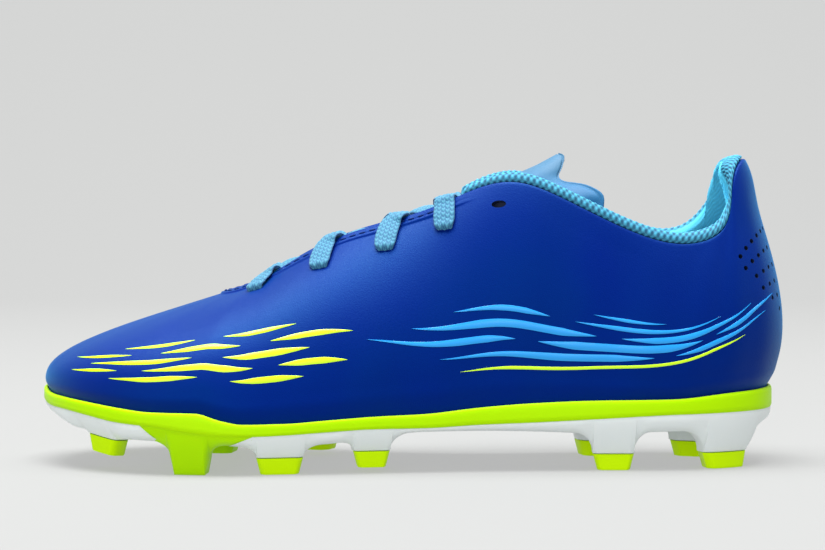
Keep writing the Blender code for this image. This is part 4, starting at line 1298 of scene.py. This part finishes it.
def make_tray(band, lime):
    """Rim and floor of the lime plate, with the ball band under it."""
    frame = foot_frame(even_turns(RIM_STATIONS))
    line, top = sole_line(2, frame[2]), sole_line(1, frame[2])
    rings = [sole_ring(frame, inset, line * (1 - part) + top * part) for part, inset in RIM_SECTION]
    rings.append(sole_ring(frame, RIM_WALL, floor_top(frame[2])))
    grid = fill_between(np.array(rings).transpose(1, 0, 2), 2, 2)
    tray = grid_object("outsole_tray_moulded", grid, lime, True, False)
    weld(tray.data)
    builder = bmesh.new()
    builder.from_mesh(tray.data)
    builder.from_mesh(band)
    builder.to_mesh(tray.data)
    builder.free()
    tray.data.shade_smooth()
    keep_sharp(tray.data, TRAY_ANGLE)
    for face in tray.data.polygons:
        face.material_index = 0
    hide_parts("outsole_tray")


def make_tip(stud, lime):
    """Lime end of one stud, with a softly rounded face."""
    run = np.concatenate([np.linspace(-1, 1, 25), np.linspace(1, -1, 25)[1:-1]])
    outside = np.arange(len(run)) < 25
    half_out, half_in = plan_shape(run)
    rings = []
    for height, grow in TIP_SECTION:
        taper = STUD_TAPER * height
        shrink = grow * STUD_EDGE
        outward = (STUD_DEPTH / 2 + TAPER_OUT * taper + shrink) * half_out
        inward = (STUD_DEPTH / 2 + TAPER_IN * taper + shrink) * half_in
        inset = np.where(outside, stud["inset"] - outward, stud["inset"] + inward)
        frame = foot_frame(stud["turn"] + run * (stud["half"] + taper + shrink) / stud["speed"])
        ring = sole_ring(frame, inset[:, None], 0.0)
        ring[:, 2] = stud["lift"] + STUD_TIP_HEIGHT * height + stud["slope"] * (ring[:, 0] - stud["x"])
        rings.append(ring)
    points = np.array(rings)
    tip = grid_object(f"stud_tip_{stud['name']}_moulded", points, lime, False, True)
    close_rings(tip.data, points.shape)
    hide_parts(f"stud_tip_{stud['name']}")


def close_rings(mesh, shape):
    """Closes the first and last ring of a loft with flat faces."""

    def cap(builder, verts):
        for start in (0, (shape[0] - 1) * shape[1]):
            builder.faces.new(verts[start:start + shape[1]])

    edit_mesh(mesh, cap)
    keep_sharp(mesh, CAP_ANGLE)


def tongue_place(turn):
    """Place along the rows of the tongue beside a turn."""
    return float(np.interp(-turn, [-row[0] for row in TONGUE], range(len(TONGUE))))


def wall_key(turn, below, depth, width, facing=0.0):
    """Key of a lace on the upper: point, the way its face looks, and share of its full width.

    facing turns its face from the wall's outside, at 0, towards the sole, in half turns."""
    edge = max(below, 0.0)
    normal = skin_normal(turn, level_at(turn, edge))
    down = unit(wall(turn, edge + 0.001, 0.0) - wall(turn, edge, 0.0))
    face = normal * math.cos(facing * math.pi) + down * math.sin(facing * math.pi)
    return wall(turn, below, depth), face, width


def tongue_key(place, across, lift):
    """Key of a lace at a height over the tongue."""
    normal = tongue_normal(place, across)
    return tongue_row(place, across)[0] + normal * lift, normal, 1.0


def strand_keys(start, end, side, raised):
    """Keys of one strand: out of its eyelet, over the edge and the tongue, and under the far edge."""
    from_turn, from_below = start[0], start[1] * THROAT_BAND
    to_turn, to_below = max(end[0], LACE_TUCK), end[1] * THROAT_BAND
    lean = from_turn - to_turn
    over = LACE_CLEARANCE + LACE_THICKNESS / 2
    depths = {"under": LACE_UNDER + 0.2e-3, "hole": 0.5 * UPPER_WALL, "out": -over - 0.3e-3,
              "strip": -THROAT_STEP - over}
    keys = []
    for share, eyelet, band, offset, layer, width, facing in LACE_OUT:
        turn = from_turn - share * min(lean, LACE_NEAR_LEAN)
        below = eyelet * from_below + band * THROAT_BAND + offset
        keys.append(wall_key(on_side(turn, side), below, depths[layer], width, facing))
    for share, across in LACE_ACROSS:
        crossing = math.exp(-((across - LACE_CROSS) / LACE_CROSS_WIDTH) ** 2)
        lift = over + (raised * LACE_RAISE + LACE_REST) * crossing
        keys.append(tongue_key(tongue_place(from_turn - share * lean), -side * across, lift))
    for share, eyelet, offset, width in LACE_IN if end[0] >= LACE_TUCK else LACE_IN[:-1]:
        turn = on_side(from_turn - share * lean, -side)
        keys.append(wall_key(turn, eyelet * to_below + offset, LACE_UNDER, width))
    return keys


def bar_keys(eyelet):
    """The lace's first run: from one side's toe eyelet under both edges to the other's."""
    turn, below = eyelet[0], eyelet[1] * THROAT_BAND
    ends = [[wall_key(on_side(turn, side), share * below + offset, LACE_UNDER, width)
             for share, offset, width in BAR_IN] for side in (-1, 1)]
    middle = [tongue_key(tongue_place(turn), across, 0.75 * LACE_THICKNESS) for across in BAR_ACROSS]
    return ends[0] + middle + ends[1][::-1]


def make_strand(name, keys, material):
    """Flat knitted lace through its keys: chevrons in five columns on a rounded band."""
    rows = np.array([(*point, *facing, width) for point, facing, width in keys])
    coarse = np.linspace(0, len(keys) - 1, 400)
    way = running(smooth_through(rows, coarse)[:, :3])
    run = np.linspace(0, way[-1], int(way[-1] / LACE_STEP))
    path, lean, broad = np.split(smooth_through(rows, np.interp(run, way, coarse)), (3, 6), axis=1)
    for _ in range(6):
        lean[1:-1] = (lean[:-2] + 2 * lean[1:-1] + lean[2:]) / 4
    tangent = unit(np.gradient(path, axis=0))
    across = unit(np.cross(tangent, lean))
    face = np.cross(across, tangent)
    u = np.concatenate([np.linspace(-1, 1, LACE_COLUMNS), np.linspace(1, -1, LACE_COLUMNS)])
    top = np.arange(len(u)) < LACE_COLUMNS
    thick = LACE_THICKNESS / 2 * np.sqrt(np.clip(1 - np.abs(u) ** 5, 0.02, 1)) * (1 + 0.9 * (1 - broad))
    cell = (u * 0.5 + 0.5) * KNIT_COLUMNS
    inside = cell - np.floor(np.clip(cell, 0, KNIT_COLUMNS - 1e-6)) - 0.5
    slant = run[:, None] / KNIT_PITCH - 1.15 * np.abs(inside) + 0.5 * (np.floor(cell) % 2)
    stitch = (0.5 + 0.5 * np.cos(2 * np.pi * slant)) * np.clip(1 - (2 * np.abs(inside)) ** 3, 0, 1)
    fade = np.clip(2.2 * (1 - np.abs(u) ** 6), 0, 1)
    height = thick + KNIT_RELIEF * (stitch - 0.6) * fade
    up = np.where(top, height, -thick) + LACE_CUP * (1 - u**2)
    sideways = LACE_WIDTH / 2 * broad * u
    grid = path[:, None] + across[:, None] * sideways[..., None] + face[:, None] * up[..., None]
    # The stitch relief goes to the colour as painted shade: darker between the stitches and towards the
    # lace's edges.
    made = grid_object(name, grid, material, False, True, stitch * fade)
    close_rings(made.data, grid.shape)
    return made


def make_lace(material):
    """Four crossings over the tongue, each of two strands, and the first run between the toe eyelets."""
    for number, (start, end) in enumerate(zip(EYELETS, EYELETS[1:]), 1):
        for side in (-1, 1):
            raised = (side < 0) == (number % 2 == 0)
            name = f"lace_{number}_{'outer' if side < 0 else 'inner'}"
            strand = make_strand(name, strand_keys(start, end, side, raised), material)
            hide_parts(f"lace_{number}")
    bar = make_strand("lace_first_run", bar_keys(EYELETS[0]), material)


def flow(row, lane):
    """Level of a lane of the print at rows of the last, rounded off between the rows of FLOW."""
    rows, levels, gaps = zip(*FLOW)
    near = row + np.linspace(-0.9, 0.9, 9)[:, None]
    return (np.interp(near, rows, levels) + lane * np.interp(near, rows, gaps)).mean(axis=0)


def make_streaks(name, streaks, material):
    """Thin printed film along the lanes, each streak pointed at both ends, on both sides of the shoe."""
    builder = bmesh.new()
    for lane, first, last, width, nose, tail in streaks:
        count = max(12, int(abs(last - first) * STREAK_STEPS))
        rows = np.linspace(first, last, count)
        f = np.linspace(0, 1, count)
        half = width / 2 * np.clip(np.minimum((f / nose) ** 0.8, ((1 - f) / tail) ** 0.8), 0.02, 1)
        level = flow(rows, lane)
        length = side_length(rows)
        for side in (-1, 1):
            loops = []
            for reach, depth in FILM_SECTION:
                ring = wall_at(on_side(rows, side), level + reach * half / length, depth)
                loops.append([builder.verts.new(point) for point in ring])
            for loop, after in zip(loops, loops[1:] + loops[:1]):
                for i in range(count - 1):
                    builder.faces.new((loop[i], loop[i + 1], after[i + 1], after[i]))
    bmesh.ops.recalc_face_normals(builder, faces=builder.faces)
    mesh = built_mesh(name, builder, material)
    keep_sharp(mesh, FILM_ANGLE)
    made = link_piece(name, mesh)


def make_stitches(material):
    """Thread along the folded strip of the throat."""
    turns = np.linspace(STITCH_END, RING - STITCH_END, 1500)
    line = wall(turns, STITCH_BELOW, -THROAT_STEP - STITCH_OUT)
    way = running(line)
    builder = bmesh.new()
    place = 0.0
    while place + STITCH_LENGTH < way[-1]:
        ends = np.array([[np.interp(place + step, way, line[:, i]) for i in range(3)]
                         for step in (0, STITCH_LENGTH)])
        turn = float(np.interp(place + STITCH_LENGTH / 2, way, turns))
        normal = skin_normal(turn, level_at(turn, STITCH_BELOW))
        run = unit(ends[1] - ends[0])
        axes = (run * STITCH_LENGTH, np.cross(normal, run) * STITCH_WIDTH, normal * STITCH_WIDTH * 0.8)
        bmesh.ops.create_uvsphere(builder, u_segments=10, v_segments=6, radius=0.5,
                                  matrix=oriented(ends.mean(axis=0), axes))
        place += STITCH_LENGTH + STITCH_SPACE
    link_piece("throat_stitches", built_mesh("throat_stitches", builder, material))


def node(tree, kind, values, **settings):
    """Adds a shader node; values set its sockets, by a number or by the socket that feeds them."""
    made = tree.nodes.new(kind)
    for name, value in settings.items():
        setattr(made, name, value)
    for socket, value in values.items():
        if isinstance(value, bpy.types.NodeSocket):
            tree.links.new(value, made.inputs[socket])
        else:
            made.inputs[socket].default_value = value
    return made


def new_material(name, colour, roughness, values):
    """Principled material with constant values on its shader sockets."""
    material = bpy.data.materials.new(name)
    material.use_nodes = True
    material.diffuse_color = (*colour, 1.0)
    shader = material.node_tree.nodes["Principled BSDF"]
    shader.inputs["Base Color"].default_value = (*colour, 1.0)
    shader.inputs["Roughness"].default_value = roughness
    for socket, value in values.items():
        shader.inputs[socket].default_value = value
    return material


def colour_between(material, value, reach, first, second):
    """Base colour from a first to a second tone as a value goes over its reach."""
    tree = material.node_tree
    share = node(tree, "ShaderNodeMapRange", {"Value": value, "From Min": reach[0], "From Max": reach[1]})
    ramp = node(tree, "ShaderNodeValToRGB", {"Fac": share.outputs["Result"]})
    for element, colour in zip(ramp.color_ramp.elements, (first, second)):
        element.color = (*colour, 1.0)
    tree.links.new(ramp.outputs["Color"], tree.nodes["Principled BSDF"].inputs["Base Color"])


def object_place(tree):
    """Socket of the object's own coordinates."""
    return node(tree, "ShaderNodeTexCoord", {}).outputs["Object"]


def add_grain(material, layers, rough):
    """Bump from noises, each a scale, a depth in metres and a strength. rough spreads the gloss."""
    tree = material.node_tree
    shader = tree.nodes["Principled BSDF"]
    place = object_place(tree)
    normal = None
    for number, (scale, depth, strength) in enumerate(layers):
        noise = node(tree, "ShaderNodeTexNoise", {"Vector": place, "Scale": scale, "Detail": 3.0})
        values = {"Height": noise.outputs["Fac"], "Distance": depth, "Strength": strength}
        if normal:
            values["Normal"] = normal
        normal = node(tree, "ShaderNodeBump", values).outputs["Normal"]
        if rough and number == 0:
            spread = node(tree, "ShaderNodeMapRange", {
                "Value": noise.outputs["Fac"], "From Min": 0.3, "From Max": 0.7,
                "To Min": rough[0], "To Max": rough[1]})
            tree.links.new(spread.outputs["Result"], shader.inputs["Roughness"])
    tree.links.new(normal, shader.inputs["Normal"])


def make_materials():
    """Every finish of the shoe by its key in FINISHES."""
    made = {}
    for key, name, colour, roughness, layers, rough, values in FINISHES:
        made[key] = new_material(name, colour, roughness, values)
        if layers:
            add_grain(made[key], layers, rough)
    tree = made["blue"].node_tree
    drift = node(tree, "ShaderNodeTexNoise", {"Vector": object_place(tree), "Scale": 30.0, "Detail": 2.0})
    colour_between(made["blue"], drift.outputs["Fac"], *BLUE_TONES)
    # Painted shade on the tongue by height: lighter towards its peak, darker down its wings.
    tree = made["cloth"].node_tree
    height = node(tree, "ShaderNodeSeparateXYZ", {"Vector": object_place(tree)}).outputs["Z"]
    colour_between(made["cloth"], height, *TONGUE_PAINTED_SHADE)
    # Knit and lace colour follows their shade attribute: painted shade in their hollows, and painted light on
    # the knit's ribs.
    for key, tones in (("knit", KNIT_TONES_AND_PAINTED_LIGHT), ("lace", LACE_PAINTED_SHADE)):
        shade = node(made[key].node_tree, "ShaderNodeAttribute", {}, attribute_name="shade").outputs["Fac"]
        colour_between(made[key], shade, *tones)
    return made


def make_stage():
    """Pale, softly lit floor that curves up into a backdrop."""
    bend = [(STAGE_BACK + STAGE_BEND * math.sin(a), STAGE_BEND * (1 - math.cos(a)))
            for a in np.linspace(0, math.pi / 2, 24)]
    profile = [(STAGE_FRONT, 0.0), *bend, (STAGE_BACK + STAGE_BEND, STAGE_TOP)]
    points = [(side * STAGE_HALF, y, z) for y, z in profile for side in (-1, 1)]
    faces = [(2 * i, 2 * i + 1, 2 * i + 3, 2 * i + 2) for i in range(len(profile) - 1)]
    mesh = bpy.data.meshes.new("floor")
    mesh.from_pydata(points, [], faces)
    mesh.shade_smooth()
    floor = bpy.data.objects.new("floor", mesh)
    mesh.materials.append(new_material("lit_table", STAGE_TONE, 0.9, {
        "Specular IOR Level": 0.1, "Emission Color": (1.0, 1.0, 1.0, 1.0), "Emission Strength": STAGE_GLOW}))
    bpy.context.scene.collection.objects.link(floor)


def add_light(name, place, aim, size, power):
    """White area light at a place, aimed at a point."""
    light = bpy.data.lights.new(name, "AREA")
    light.shape = "RECTANGLE"
    light.size, light.size_y = size
    light.energy = power
    made = bpy.data.objects.new(name, light)
    made.location = place
    made.rotation_euler = (Vector(aim) - Vector(place)).to_track_quat("-Z", "Y").to_euler()
    bpy.context.scene.collection.objects.link(made)


def light_scene():
    """Soft studio light: the lamps of LIGHTS and a pale world."""
    world = bpy.data.worlds.new("studio")
    world.use_nodes = True
    background = world.node_tree.nodes["Background"]
    background.inputs["Color"].default_value = (1.0, 1.0, 1.0, 1.0)
    background.inputs["Strength"].default_value = WORLD_LIGHT
    bpy.context.scene.world = world
    for light in LIGHTS:
        add_light(*light)


def set_camera():
    """Camera of the photo's view, level with the shoe's top and dipped a little."""
    camera = bpy.data.cameras.new("camera")
    camera.lens = CAMERA_LENS
    camera.sensor_width = 36.0
    camera.clip_start = 0.01
    made = bpy.data.objects.new("camera", camera)
    made.location = (0.0, -CAMERA_AWAY, CAMERA_HEIGHT)
    made.rotation_euler = (math.radians(90.0 - CAMERA_DIP), 0.0, 0.0)
    bpy.context.scene.collection.objects.link(made)
    bpy.context.scene.camera = made


def main():
    """Builds the shoe, its stage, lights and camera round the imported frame."""
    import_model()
    looks = make_materials()
    make_sole(looks["lime"], looks["white"], looks["tips"])
    make_upper(looks["blue"], looks["lining"], looks["edge"])
    make_collar(looks["knit"], looks["edge"])
    make_tongue(looks["cloth"])
    make_insole(looks["bed"])
    make_lace(looks["lace"])
    make_streaks("print_forefoot", FOREFOOT_DASHES, looks["lime_print"])
    make_streaks("print_sweep", SWEEP_STREAKS, looks["cyan_print"])
    make_streaks("print_pinstripe", PINSTRIPE, looks["lime_print"])
    make_stitches(looks["thread"])
    make_stage()
    light_scene()
    set_camera()
    bpy.context.scene.view_settings.view_transform = "Standard"
    bpy.context.view_layer.update()


main()
